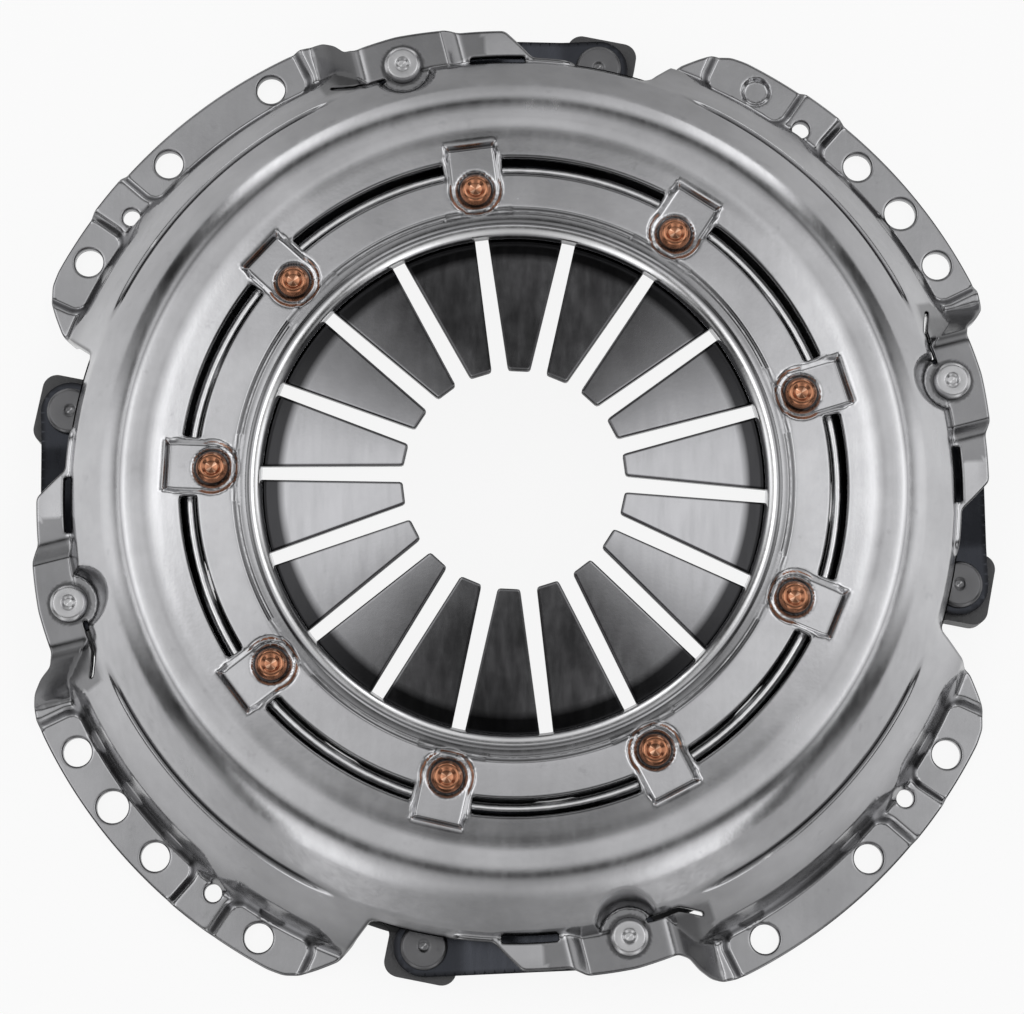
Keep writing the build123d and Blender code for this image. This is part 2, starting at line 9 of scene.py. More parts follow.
import bpy
import numpy as np
from mathutils import Matrix, Vector
from mathutils.geometry import delaunay_2d_cdt
from mathutils.kdtree import KDTree


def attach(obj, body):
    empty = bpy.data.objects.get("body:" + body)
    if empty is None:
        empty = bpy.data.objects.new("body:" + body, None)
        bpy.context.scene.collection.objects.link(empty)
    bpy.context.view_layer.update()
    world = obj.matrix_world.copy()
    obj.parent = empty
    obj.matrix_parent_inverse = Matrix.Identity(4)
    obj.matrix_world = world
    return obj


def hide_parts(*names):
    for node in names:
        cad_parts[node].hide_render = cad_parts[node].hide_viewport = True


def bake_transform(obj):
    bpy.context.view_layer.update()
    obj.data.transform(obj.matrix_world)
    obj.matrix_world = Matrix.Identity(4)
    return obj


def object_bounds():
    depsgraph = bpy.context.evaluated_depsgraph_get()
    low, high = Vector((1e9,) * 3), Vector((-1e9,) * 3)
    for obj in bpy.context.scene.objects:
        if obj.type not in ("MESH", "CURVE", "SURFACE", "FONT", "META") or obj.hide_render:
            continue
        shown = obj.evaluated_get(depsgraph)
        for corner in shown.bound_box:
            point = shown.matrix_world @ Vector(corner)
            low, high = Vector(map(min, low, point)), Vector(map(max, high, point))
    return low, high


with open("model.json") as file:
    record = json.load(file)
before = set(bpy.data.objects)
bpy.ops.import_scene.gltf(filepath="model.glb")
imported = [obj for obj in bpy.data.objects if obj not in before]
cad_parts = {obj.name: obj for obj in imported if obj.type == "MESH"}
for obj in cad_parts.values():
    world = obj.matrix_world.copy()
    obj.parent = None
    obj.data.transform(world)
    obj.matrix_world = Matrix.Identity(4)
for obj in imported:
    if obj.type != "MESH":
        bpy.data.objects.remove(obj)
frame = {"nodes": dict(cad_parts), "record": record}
cad_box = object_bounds()
nodes = frame["nodes"]
MM = 0.001

# Radii, from the plate's outer radius
PLATE = 137.5
RIVETS = PLATE - 47.1
FULCRUM = PLATE - 40.2
BEAD = PLATE - 20.0
SPRING_RIM = PLATE - 18.5
TIP = 33.0
LIP = PLATE - 62.0
LIP_LINE = LIP + 3.9
LIP_GROOVE = LIP + 8.0
CREASE = PLATE - 6.2
CREASE_LINE = CREASE + 1.8
CROWN_LINE = PLATE - 20.3
BOLTS = PLATE + 17.5
RIM = PLATE + 24.5
SMALL_HOLES = PLATE + 13.9
PAD_INNER = BOLTS - 5.2
LAND = BOLTS - 7.4
SKIRT = LAND - 3.0
SEAT_RIVET = PLATE + 1.2
SEAT_RIM = SEAT_RIVET + 8.9
GUARD_RIM = SEAT_RIM - 3.0
LUG_RIVET = PLATE + 2.0
DOME_EDGE = PLATE - 1.3
SLIT = PLATE - 2.2
NOTCH = PLATE - 1.5

# Radii of holes
BOLT_HOLE = 4.5
DOWEL_HOLE = 5.0
SMALL_HOLE = 2.75
STRAP_HOLE = 4.05
RIVET_HOLE = 3.25
SLOT_HALF = 2.55
SLOT_MARGIN = 9.0

# Heights of faces
SHEET = 4.0
HALF_SHEET = SHEET / 2
ANNULUS = 49.0
CROWN_RISE = 2.2
SEAT = 30.0
GUARD = SEAT + 4.0
LAND_TOP = 7.5
PAD_TOP = 4.0
SKIRT_MIDDLE = 17.0
RIVET_PAD = ANNULUS - 1.2
RIVET_DISH = 0.6
RIVET_FLANGE = 32.26
SPRING_THICKNESS = 3.0
FULCRUM_TOP = 39.55
RING_CONE = 9.5
FINGER_CONE = 13.5
LUG_TOP = 16.0
LUG_POCKET = 9.7
FRICTION_FACE = 5.0

# Straps
LEAVES = 3
LEAF = 0.8
LEAF_HALF = 9.2
LEAF_FLAT = 11.0

# Angles of what repeats
QUARTER = 90.0
RIVET_COUNT = 9
RIVET_PITCH = 360.0 / RIVET_COUNT
FIRST_RIVET = 17.5
FINGERS = 18
FINGER_PITCH = 360.0 / FINGERS
SEAT_ANGLE = 104.5
LUG_ANGLE = 79.0
GUARD_START_ANGLE = 85.4
GUARD_STEP_ANGLE = 97.5
LOBE_START = 19.8
LOBE_END = 73.0
PAD_SPANS = ((26.0, 49.2), (55.8, 65.6))
BOLT_ANGLES = (30.0, 45.0, 60.0)
BLIND_SEAT = 60.0
DOWEL_ANGLE = 37.5
SMALL_HOLE_ANGLE = 52.9

# Middle line of the cover's sheet as radius and height, and the bends at its inner corners
MIDDLE = ANNULUS - HALF_SHEET
DOME_PATH = [
    (LIP, MIDDLE - 1.1),
    (LIP + 5.5, MIDDLE),
    (FULCRUM + 2.5, MIDDLE),
    (FULCRUM + 10.2, MIDDLE + CROWN_RISE),
    (SPRING_RIM + 0.5, MIDDLE + CROWN_RISE),
    (CREASE, MIDDLE - 10.5),
]
DOME_BENDS = [6.0, 12.0, 14.0, 12.0]
LOBE_PATH = DOME_PATH + [
    (SKIRT, SKIRT_MIDDLE),
    (LAND, LAND_TOP - HALF_SHEET),
    (RIM + 3, LAND_TOP - HALF_SHEET),
]
LOBE_BENDS = DOME_BENDS + [4.0, 4.0, 3.4]
WALL_PATH = DOME_PATH + [(PLATE + 2.8, 12.5)]
WALL_BENDS = DOME_BENDS + [4.0]

# Guard, seat and ramp along the tangent at a strap rivet
LEDGE_START = SEAT_RIVET * sin(radians(GUARD_START_ANGLE - SEAT_ANGLE))
GUARD_STEP = SEAT_RIVET * sin(radians(GUARD_STEP_ANGLE - SEAT_ANGLE))
STEP_HALF = 2.0
RAMP_START = 12.4
RAMP_RUN = 18
RAMP_SLOPE = 1.88
LEDGE_PATH = [
    (LEDGE_START - 22, -8),
    (LEDGE_START - 4, GUARD - HALF_SHEET),
    (GUARD_STEP - STEP_HALF, GUARD - HALF_SHEET),
    (GUARD_STEP + STEP_HALF, SEAT - HALF_SHEET),
    (RAMP_START, SEAT - HALF_SHEET),
    (RAMP_START + RAMP_RUN, SEAT - HALF_SHEET - RAMP_RUN * RAMP_SLOPE),
]
LEDGE_BENDS = [3.0, 2.4, 2.4, 3.6]

# Slopes of pressed walls, rise over run
PAD_SLOPE = 1.5
SKIRT_SLOPE = 3.0
POCKET_SLOPE = 3.2
PAD_CORNER = 3.0
FAR = 99.0

# Strap seats: radius of the pocket round the rivet on each side of the sheet
POCKET_RADIUS = {1: 8.6, -1: 11.6}

# Rivet pads: half width, outer end, round inner end, and slope of the wall by radius
RIVET_PAD_HALF = 6.8
RIVET_PAD_END = FULCRUM + 6.3
RIVET_PAD_NOSE = 7.2
RIVET_PAD_SLOPES = ((RIVETS, FULCRUM + 4.0, FULCRUM + 6.0), (1.1, 1.2, 2.6))

# Relief that only the upper face has
CREASE_DEPTH = 1.9
CREASE_WIDTH = 0.8
BLIND_DEPTH = 1.2
RING_MIDDLE = 95.0
RING_FALL = 3.5
LIP_STEP = 0.35
LIP_ROLL = 2.8


def polar(radius, angle):
    return np.array((radius * cos(radians(angle)), radius * sin(radians(angle))))


def turned(points, angle):
    """Points turned round the axis."""
    c, s = cos(radians(angle)), sin(radians(angle))
    points = np.asarray(points)
    return np.stack([points[:, 0] * c - points[:, 1] * s, points[:, 0] * s + points[:, 1] * c], 1)


def beside_axis(radius, angle, first, pitch):
    """Distances across and along the nearest of the radial lines that repeat every pitch."""
    turn = np.radians(np.mod(angle - first + pitch / 2, pitch) - pitch / 2)
    return radius * np.sin(turn), radius * np.cos(turn)


def smoothstep(start, end, value):
    t = np.clip((value - start) / (end - start), 0.0, 1.0)
    return t * t * (3 - 2 * t)


def bell(value, width):
    """1 at zero, falling away on both sides."""
    return np.exp(-((value / width) ** 2))


def soft_min(a, b, width):
    """Lower of two surfaces with a rounded edge where they cross."""
    h = np.clip(0.5 + 0.5 * (b - a) / width, 0.0, 1.0)
    return b + (a - b) * h - width * h * (1 - h)


def soft_max(a, b, width):
    return -soft_min(-a, -b, width)


def sheet_profile(points, bends, side, arc_points=10):
    """Bent sheet's face: its middle line with rounded corners, moved half a sheet to one side."""
    points = [np.array(point, float) for point in points]
    line = [points[0]]
    for before, corner, after, bend in zip(points, points[1:], points[2:], bends):
        back = (before - corner) / np.linalg.norm(before - corner)
        ahead = (after - corner) / np.linalg.norm(after - corner)
        half_angle = np.arccos(np.clip(back @ ahead, -1, 1)) / 2
        bisector = (back + ahead) / np.linalg.norm(back + ahead)
        centre = corner + bisector * bend / np.sin(half_angle)
        reach = bend / np.tan(half_angle)
        first = corner + back * reach - centre
        last = corner + ahead * reach - centre
        turn = pi - 2 * half_angle
        for step in np.linspace(0, 1, arc_points):
            mix = (np.sin((1 - step) * turn) * first + np.sin(step * turn) * last) / np.sin(turn)
            line.append(centre + mix)
    line.append(points[-1])
    line = np.array(line)
    run = np.gradient(line, axis=0)
    normal = np.stack([-run[:, 1], run[:, 0]], 1) / np.hypot(run[:, 0], run[:, 1])[:, None]
    face = line + normal * side * HALF_SHEET
    return face[:, 0], face[:, 1]


def pad_distance(radius, local):
    """How far outside the pressed bolt pads a point lies, negative inside them."""
    nearest = np.full(np.shape(radius), FAR)
    across = PAD_INNER - radius
    for start, end in PAD_SPANS:
        along = np.maximum(start - local, local - end) * pi / 180 * radius
        beside = np.maximum(along + PAD_CORNER, 0)
        before = np.maximum(across + PAD_CORNER, 0)
        inside = np.minimum(np.maximum(along, across) + PAD_CORNER, 0)
        nearest = np.minimum(nearest, np.hypot(beside, before) - PAD_CORNER + inside)
    return nearest


def crease_taper(local):
    return smoothstep(22.5, 30.0, local) * (1 - smoothstep(61.0, 69.0, local))


def cover_painted_shade(x, y):
    """Painted shade on the cover's upper face, from 0 to 1: in creases, grooves, recesses and at
    steps.
    """
    radius = np.hypot(x, y)
    angle = np.degrees(np.arctan2(y, x))
    local = np.mod(angle, QUARTER)
    # Painted shade in the crease and along the line where the bolt pads meet the flange; the lobes
    # a little darker outwards
    zones = [crease_taper(local) * bell(radius - CREASE_LINE, 0.75)]
    zones.append(0.75 * bell(pad_distance(radius, local) - 1.5, 0.8) * (radius > CREASE + 8))
    zones.append(0.3 * smoothstep(SKIRT - 5, LAND, radius))
    # A thin line of painted shade on the crown, faint towards +Y and -Y as the light falls there
    faint = 1 - smoothstep(0.75, 0.93, np.abs(y) / np.maximum(radius, 1.0))
    zones.append(0.75 * faint * bell(radius - CROWN_LINE, 0.5))
    # Rivet pads: painted shade in the dish round the head, and on the wall at the outer end
    across, out = beside_axis(radius, angle, FIRST_RIVET, RIVET_PITCH)
    zones.append(1 - smoothstep(5.4, 6.1, np.hypot(across, out - RIVETS)))
    zones.append(bell(out - FULCRUM - 6.5, 0.65) * (1 - smoothstep(6.2, 7.6, np.abs(across))))
    # Lip: painted shade in two lines, and the band between them darker
    zones.append(0.85 * np.maximum(bell(radius - LIP_GROOVE, 0.45), bell(radius - LIP_LINE, 0.4)))
    zones.append(0.45 * smoothstep(LIP + 3.6, LIP + 4.0, radius) * (radius < LIP + 7.2))
    # Painted shade round the strap seat rivets, in the seats, and on the steep ramps beside them
    along, out = beside_axis(radius, angle, SEAT_ANGLE, QUARTER)
    from_rivet = np.hypot(along, out - SEAT_RIVET)
    zones.append(0.9 * (1 - smoothstep(6.5, 7.3, from_rivet)))
    zones.append(0.55 * (1 - smoothstep(9.0, 10.2, from_rivet)))
    zones.append(0.55 * smoothstep(SEAT_RIVET - 5.0, SEAT_RIVET - 3.5, out) * (np.abs(along) < 26))
    ramp = smoothstep(RAMP_START - 0.4, RAMP_START + 1.2, along)
    ramp = ramp * (1 - smoothstep(20.0, 27.0, along))
    zones.append(0.75 * ramp * smoothstep(CREASE + 3, CREASE + 7, radius))
    return np.max(zones, axis=0)


def with_strap_seats(dome, radius, angle, lobe, side):
    """The dome wall with the pocket, seat, guard and ramp of each strap."""
    along, out = beside_axis(radius, angle, SEAT_ANGLE, QUARTER)
    from_rivet = np.hypot(along, out - SEAT_RIVET)
    pocket = SEAT - HALF_SHEET + side * HALF_SHEET
    pocket = pocket + np.maximum(from_rivet - POCKET_RADIUS[side], 0) * POCKET_SLOPE
    near = (np.abs(along) < 30) & (radius > SPRING_RIM)
    dome = np.where(near, soft_min(dome, pocket, 1.2), dome)
    ledge = np.interp(along, *sheet_profile(LEDGE_PATH, LEDGE_BENDS, side))
    dome = np.where(radius > SPRING_RIM, soft_max(dome, ledge, 1.4), dome)
    if side < 0:
        # Keeps the sheet's thickness at the wall's lower edge between two lobes
        cut = SEAT - 2.2 + (radius - PLATE + 5.1) * 0.37
        gap = (1 - lobe) * (ledge < SEAT - SHEET - 3)
        edge = (radius > CREASE) & (radius < DOME_EDGE + 1)
        dome = np.where((gap > 0.5) & edge, np.maximum(dome, cut), dome)
    return dome


def with_rivet_pads(dome, radius, angle, side):
    """The ring with its sunk rivet pads, square at the outer end and round at the inner."""
    across, out = beside_axis(radius, angle, FIRST_RIVET, RIVET_PITCH)
    from_rivet = np.hypot(across, out - RIVETS)
    box = np.maximum(out - RIVET_PAD_END, RIVETS - out)
    box = np.maximum(np.abs(across) - RIVET_PAD_HALF, box)
    grow = 0.0 if side > 0 else 1.5
    outside = np.maximum(np.minimum(box, from_rivet - RIVET_PAD_NOSE) - grow, 0)
    press = RIVET_PAD - HALF_SHEET + side * HALF_SHEET
    press = press + outside * np.interp(out, *RIVET_PAD_SLOPES)
    dome = np.where(radius < BEAD, soft_min(dome, press, 0.35), dome)
    if side > 0:
        dome = dome - RIVET_DISH * (1 - smoothstep(5.5, 6.3, from_rivet))
    return dome


def with_top_relief(dome, x, y, radius, local):
    """Relief that only the upper face has."""
    # Crease pressed into the dome wall above each lobe, and the blind bolt seat
    crease = CREASE_DEPTH * crease_taper(local)
    dome = dome - crease * bell(radius - CREASE_LINE, CREASE_WIDTH)
    blind = polar(BOLTS, BLIND_SEAT)
    dome = dome - BLIND_DEPTH * (1 - smoothstep(3.6, 4.8, np.hypot(x - blind[0], y - blind[1])))
    # The ring between lip and crown falls a little outwards
    fall = (RING_MIDDLE - np.maximum(radius, LIP + 8.5)) * tan(radians(RING_FALL))
    fall = fall * smoothstep(LIP + 2, LIP + 8, radius)
    dome = dome + fall * (1 - smoothstep(105.0, 111.0, radius))
    # Formed lip: two fine grooves, a step down and a rolled inner edge
    dome = dome - 0.45 * bell(radius - LIP_GROOVE, 0.5)
    dome = dome - 0.3 * bell(radius - LIP_LINE, 0.45)
    dome = dome - LIP_STEP * (1 - smoothstep(LIP + 6.4, LIP + 7.4, radius))
    roll = np.clip(LIP_ROLL - (radius - LIP), 0.0, LIP_ROLL)
    return dome - (LIP_ROLL - np.sqrt(LIP_ROLL**2 - roll**2))


def cover_height(x, y, side):
    """Height of the cover's top face (side 1) or underside (side -1)."""
    radius = np.hypot(x, y)
    angle = np.degrees(np.arctan2(y, x))
    local = np.mod(angle, QUARTER)
    skirt = np.interp(radius, *sheet_profile(LOBE_PATH, LOBE_BENDS, side))
    wall = np.interp(radius, *sheet_profile(WALL_PATH, WALL_BENDS, side))
    lobe = smoothstep(LOBE_START - 0.6, LOBE_START + 0.8, local)
    lobe = lobe * (1 - smoothstep(LOBE_END - 1.6, LOBE_END + 0.2, local))
    # Pressed seats under the bolt heads
    press = PAD_TOP - HALF_SHEET + side * HALF_SHEET
    press = press + np.maximum(pad_distance(radius, local) - 0.4, 0) * PAD_SLOPE
    press = press + np.maximum(SKIRT + 2.0 - radius, 0) * SKIRT_SLOPE
    dome = lobe * soft_min(skirt, press, 1.0) + (1 - lobe) * wall
    dome = with_strap_seats(dome, radius, angle, lobe, side)
    dome = with_rivet_pads(dome, radius, angle, side)
    return with_top_relief(dome, x, y, radius, local) if side > 0 else dome


def smooth_loop(corners, window, spacing=0.5):
    """Closed loop through polar corners, straight in radius and angle, rounded a little."""
    points = []
    for index, (radius, angle) in enumerate(corners):
        next_radius, next_angle = corners[(index + 1) % len(corners)]
        if next_angle < angle - 180:
            next_angle += 360
        length = hypot(next_radius - radius, radians(next_angle - angle) * radius)
        steps = max(int(ceil(length / spacing)), 1)
        for step in range(steps):
            mix = step / steps
            point = (radius + (next_radius - radius) * mix, angle + (next_angle - angle) * mix)
            points.append(polar(*point))
    points = np.array(points)
    padded = np.concatenate([points[-window:], points, points[:window]])
    kernel = np.ones(window) / window
    smooth = np.stack([np.convolve(padded[:, k], kernel, "same") for k in range(2)], 1)
    return smooth[window:-window]


def even_loop(points, spacing):
    """The same loop with its points evenly apart, anticlockwise."""
    closed = np.concatenate([points, points[:1]])
    length = np.concatenate([[0], np.cumsum(np.hypot(*np.diff(closed, axis=0).T))])
    count = max(int(round(length[-1] / spacing)), 12)
    at = np.linspace(0, length[-1], count, endpoint=False)
    loop = np.stack([np.interp(at, length, closed[:, k]) for k in range(2)], 1)
    area = np.sum(loop[:, 0] * np.roll(loop[:, 1], -1) - loop[:, 1] * np.roll(loop[:, 0], -1))
    return loop if area > 0 else loop[::-1]


def circle_loop(centre, radius, spacing=0.8):
    count = max(int(2 * pi * radius / spacing), 16)
    angles = np.linspace(0, 2 * pi, count, endpoint=False)
    return np.stack([centre[0] + radius * np.cos(angles), centre[1] + radius * np.sin(angles)], 1)


def inward(loop, hole):
    """Unit directions from a loop's points into the material."""
    run = np.roll(loop, -1, 0) - np.roll(loop, 1, 0)
    run = run / np.hypot(run[:, 0], run[:, 1])[:, None]
    normal = np.stack([-run[:, 1], run[:, 0]], 1)
    return -normal if hole else normal


def inside_loop(points, loop):
    """The points that lie inside a closed loop."""
    ahead = np.roll(loop, -1, 0)
    x, y = points[:, :1], points[:, 1:]
    crosses = (loop[:, 1] > y) != (ahead[:, 1] > y)
    rise = np.where(ahead[:, 1] == loop[:, 1], 1e-9, ahead[:, 1] - loop[:, 1])
    at = loop[:, 0] + (y - loop[:, 1]) / rise * (ahead[:, 0] - loop[:, 0])
    return points[np.sum(crosses & (x < at), axis=1) % 2 == 1]


# Rings of points along an edge: how far in, and how far other edges keep off, in roundings
EDGE_RINGS = ((0.3, 0.25), (1.0, 0.9), (2.0, 1.9))
INNER_GAP = 2.6


def face_of_plan(loops, inside, points, rounding):
    """One face's points and triangles: loop points, then edge rings, then the inner points."""
    border = np.concatenate(loops)
    direction = np.concatenate(inside)
    tree = KDTree(len(border))
    for index, point in enumerate(border):
        tree.insert((*point, 0), index)
    tree.balance()

    def in_material(candidates, gap):
        nearest = [tree.find((*point, 0)) for point in candidates]
        index = np.array([found[1] for found in nearest])
        distance = np.array([found[2] for found in nearest])
        into = np.sum((candidates - border[index]) * direction[index], 1)
        return (distance > gap) & (into > 0)

    everything = [border]
    for inset, gap in EDGE_RINGS:
        ring = border + direction * rounding * inset
        everything.append(ring[in_material(ring, rounding * gap)])
    everything.append(points[in_material(points, rounding * INNER_GAP)])
    edges = []
    start = 0
    for loop in loops:
        count = len(loop)
        edges += [(start + k, start + (k + 1) % count) for k in range(count)]
        start += count
    found = delaunay_2d_cdt(np.concatenate(everything).tolist(), edges, [], 0, 1e-6)
    placed = np.array([tuple(vertex) for vertex in found[0]])
    faces = np.array(found[2])
    source = np.array([origin[0] if origin else -1 for origin in found[3]])
    # A triangle between border points only may lie in a hole
    loose = np.all((source[faces] >= 0) & (source[faces] < len(border)), axis=1)
    keep = ~loose
    if loose.any():
        keep[loose] = in_material(placed[faces[loose]].mean(1), 0.0)
    faces = faces[keep]
    first = placed[faces[:, 0]]
    a = placed[faces[:, 1]] - first
    b = placed[faces[:, 2]] - first
    upside = a[:, 0] * b[:, 1] - a[:, 1] * b[:, 0] < 0
    faces[upside] = faces[upside][:, ::-1]
    gap = np.array([tree.find((*point, 0))[2] for point in placed])
    drop = np.zeros(len(placed))
    close = gap < rounding
    drop[close] = rounding - np.sqrt(np.maximum(rounding**2 - (rounding - gap[close]) ** 2, 0))
    return placed, faces, source, drop, gap


def make_object(name, vertices, faces, crease):
    mesh = bpy.data.meshes.new(name)
    mesh.from_pydata((np.asarray(vertices) * MM).tolist(), [], faces)
    mesh.validate()
    mesh.polygons.foreach_set("use_smooth", [True] * len(mesh.polygons))
    mesh.set_sharp_from_angle(angle=radians(crease))
    mesh.update()
    piece = bpy.data.objects.new(name, mesh)
    bpy.context.scene.collection.objects.link(piece)
    return piece


def store(piece, name, values):
    """Keeps a number for each vertex, which the piece's material reads."""
    layer = piece.data.attributes.get(name) or piece.data.attributes.new(name, "FLOAT", "POINT")
    layer.data.foreach_set("value", np.asarray(values, np.float32))


def plan_solid(name, loops, top_points, under_points, height, rounding=0.5):
    """Mesh of a sheet or plate given by its outline, holes and two height functions.

    The first loop is the outline, the others are holes. height(x, y, side) is in millimetres.
    A stored attribute holds painted shade that darkens the edges.
    The attribute grime darkens the edges.
    """
    inside = [inward(loop, index > 0) for index, loop in enumerate(loops)]
    vertices = []
    triangles = []
    borders = []
    gaps = []
    count = sum(len(loop) for loop in loops)
    start = 0
    for side, points in ((1, top_points), (-1, under_points)):
        placed, faces, source, drop, gap = face_of_plan(loops, inside, points, rounding)
        z = height(placed[:, 0], placed[:, 1], side) - side * drop
        gaps.append(gap)
        vertices.append(np.column_stack([placed, z]))
        triangles.append(start + (faces if side > 0 else faces[:, ::-1]))
        where = np.zeros(count, int)
        known = (source >= 0) & (source < count)
        where[source[known]] = np.nonzero(known)[0]
        borders.append(start + where)
        start += len(placed)
    walls = []
    begin = 0
    for index, loop in enumerate(loops):
        here = np.arange(begin, begin + len(loop))
        after = np.roll(here, -1)
        quad = [borders[0][here], borders[1][here], borders[1][after], borders[0][after]]
        walls += np.stack(quad if index == 0 else quad[::-1], 1).tolist()
        begin += len(loop)
    faces = np.concatenate(triangles).tolist() + walls
    piece = make_object(name, np.concatenate(vertices), faces, crease=75.0)
    # Painted shade along the edges, darkest at the border
    store(piece, "painted_shade", 0.8 * (1 - smoothstep(0.25, 0.8, np.concatenate(gaps))))
    return piece


def dress(piece, material, slot, *replaced):
    piece.data.materials.append(material)
    if replaced:
        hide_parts(*replaced)
    return piece


def ring_points(inner, outer, step, count):
    """Points on rings round the axis."""
    angles = np.arange(count) * 2 * pi / count
    rings = []
    for radius in np.arange(inner, outer + step / 2, step):
        rings.append(np.stack([radius * np.cos(angles), radius * np.sin(angles)], 1))
    return np.concatenate(rings)


def grid_points(first, second):
    """All pairs of two rows of numbers, as points."""
    return np.stack(np.meshgrid(first, second), -1).reshape(-1, 2)


def patch(angle, inner, outer, half_width, spacing):
    """Square grid of points in a box that lies along a radius."""
    out = np.arange(inner, outer, spacing)
    along = np.arange(-half_width, half_width + spacing / 2, spacing)
    return turned(grid_points(out, along), angle)


def outside_patches(points, patches, margin=0.3):
    keep = np.ones(len(points), bool)
    for angle, inner, outer, half_width in patches:
        out, along = turned(points, -angle).T
        inside = (out > inner - margin) & (out < outer + margin)
        keep &= ~(inside & (np.abs(along) < half_width + margin))
    return points[keep]


# The cover's outline in one quarter, from the guard over the seat and the lobe, as radius and angle
OUTLINE = (
    (DOME_EDGE, 87.6),
    (GUARD_RIM, 91.2),
    (GUARD_RIM + 0.2, 97.0),
    (SEAT_RIM, 98.8),
    (SEAT_RIM + 0.8, SEAT_ANGLE),
    (SEAT_RIM + 0.4, 109.6),
    (SEAT_RIM + 2.6, 110.8),
    (SEAT_RIM + 7.0, 111.5),
    (RIM - 3.5, 112.5),
    (RIM - 1.2, 113.6),
    (RIM - 0.3, 115.0),
    (RIM, 116.4),
    (RIM, 152.6),
    (RIM - 0.6, 154.4),
    (RIM - 2.6, 156.0),
    (RIM - 6.0, 157.5),
    (BOLTS - 4.0, 159.5),
    (DOME_EDGE, 161.9),
)
SLIT_ANGLES = (88.6, 95.8)
# Rise from the notch's radius, and angle, along the cut between a seat and the next lobe
NOTCH_LINE = ((-0.6, 107.2), (-0.6, 109.6), (-0.6, 111.4), (1.0, 112.6), (3.6, 114.2))


def slot_loop(middle, half, start, end, spacing):
    corners = [
        (middle - half, start), (middle - half, end), (middle + half, end), (middle + half, start),
    ]
    return even_loop(smooth_loop(corners, window=3), spacing)


def cover_loops():
    """Outline, mouth, slots and holes of the cover."""
    quarters = [quarter * QUARTER for quarter in range(4)]
    outline = [(radius, angle + turn) for turn in quarters for radius, angle in OUTLINE]
    loops = [even_loop(smooth_loop(outline, window=5), 0.8)]
    loops.append(circle_loop((0, 0), LIP))
    margin = degrees(SLOT_MARGIN / FULCRUM)
    for rivet in range(RIVET_COUNT):
        angle = FIRST_RIVET + rivet * RIVET_PITCH
        loops.append(circle_loop(polar(RIVETS, angle), RIVET_HOLE))
        ends = (angle + margin, angle + RIVET_PITCH - margin)
        loops.append(slot_loop(FULCRUM, SLOT_HALF, *ends, spacing=0.8))
    for turn in quarters:
        loops.append(circle_loop(polar(SEAT_RIVET, SEAT_ANGLE + turn), STRAP_HOLE))
        ends = [angle + turn for angle in SLIT_ANGLES]
        loops.append(slot_loop(SLIT, 1, *ends, spacing=0.7))
        inner = [(NOTCH + rise - 0.6, angle + turn) for rise, angle in NOTCH_LINE]
        outer = [(NOTCH + rise + 0.7, angle - 0.1 + turn) for rise, angle in NOTCH_LINE]
        loops.append(even_loop(smooth_loop(inner + outer[::-1], window=3), 0.6))
        for bolt in BOLT_ANGLES:
            if bolt + turn != BLIND_SEAT:
                loops.append(circle_loop(polar(BOLTS, bolt + turn), BOLT_HOLE))
        loops.append(circle_loop(polar(SMALL_HOLES, SMALL_HOLE_ANGLE + turn), SMALL_HOLE))
        if turn in (0.0, 2 * QUARTER):
            loops.append(circle_loop(polar(BOLTS, DOWEL_ANGLE + turn), DOWEL_HOLE))
    return loops


# Rings of points on the cover's upper face: inner and outer radius, step and count
TOP_RINGS = (
    (LIP + 1.2, LIP + 9.2, 0.2, 540),
    (LIP + 10.0, CREASE - 3.6, 1.1, 540),
    (CREASE - 2.6, CREASE - 0.4, 0.8, 720),
    (CREASE + 0.2, CREASE + 4.0, 0.32, 720),
    (CREASE + 4.8, PAD_INNER - 6.0, 0.8, 720),
    (PAD_INNER - 5.4, PAD_INNER + 1.0, 0.4, 720),
    (PAD_INNER + 1.7, RIM, 0.8, 720),
)
UNDER_RINGS = ((LIP + 2, CREASE, 3.2, 240), (CREASE + 1, RIM, 1.8, 300))
# Half the angle of the denser rows at the ends of the bolt pads, and their number
STEP_ZONE = 1.7
STEP_ROWS = 24
PATCH_SPACING = 0.55


def cover_points(patches):
    """Points of the cover's upper face, denser where it is pressed."""
    base = np.concatenate([ring_points(*rings) for rings in TOP_RINGS])
    radius = np.hypot(base[:, 0], base[:, 1])
    local = np.mod(np.degrees(np.arctan2(base[:, 1], base[:, 0])), QUARTER)
    zoned = radius > PAD_INNER - 5.5
    near_step = np.zeros(len(base), bool)
    steps = []
    for angle in np.ravel(PAD_SPANS):
        near_step |= (np.abs(local - angle) < STEP_ZONE) & zoned
        for quarter in range(4):
            turn = angle + quarter * QUARTER
            at = np.radians(np.linspace(turn - STEP_ZONE, turn + STEP_ZONE, STEP_ROWS))
            for ring in np.unique(np.round(radius[zoned], 3)):
                steps.append(np.stack([ring * np.cos(at), ring * np.sin(at)], 1))
    base = np.concatenate([base[~near_step], *steps])
    filled = [patch(*box, PATCH_SPACING) for box in patches]
    return np.concatenate([outside_patches(base, patches), *filled])


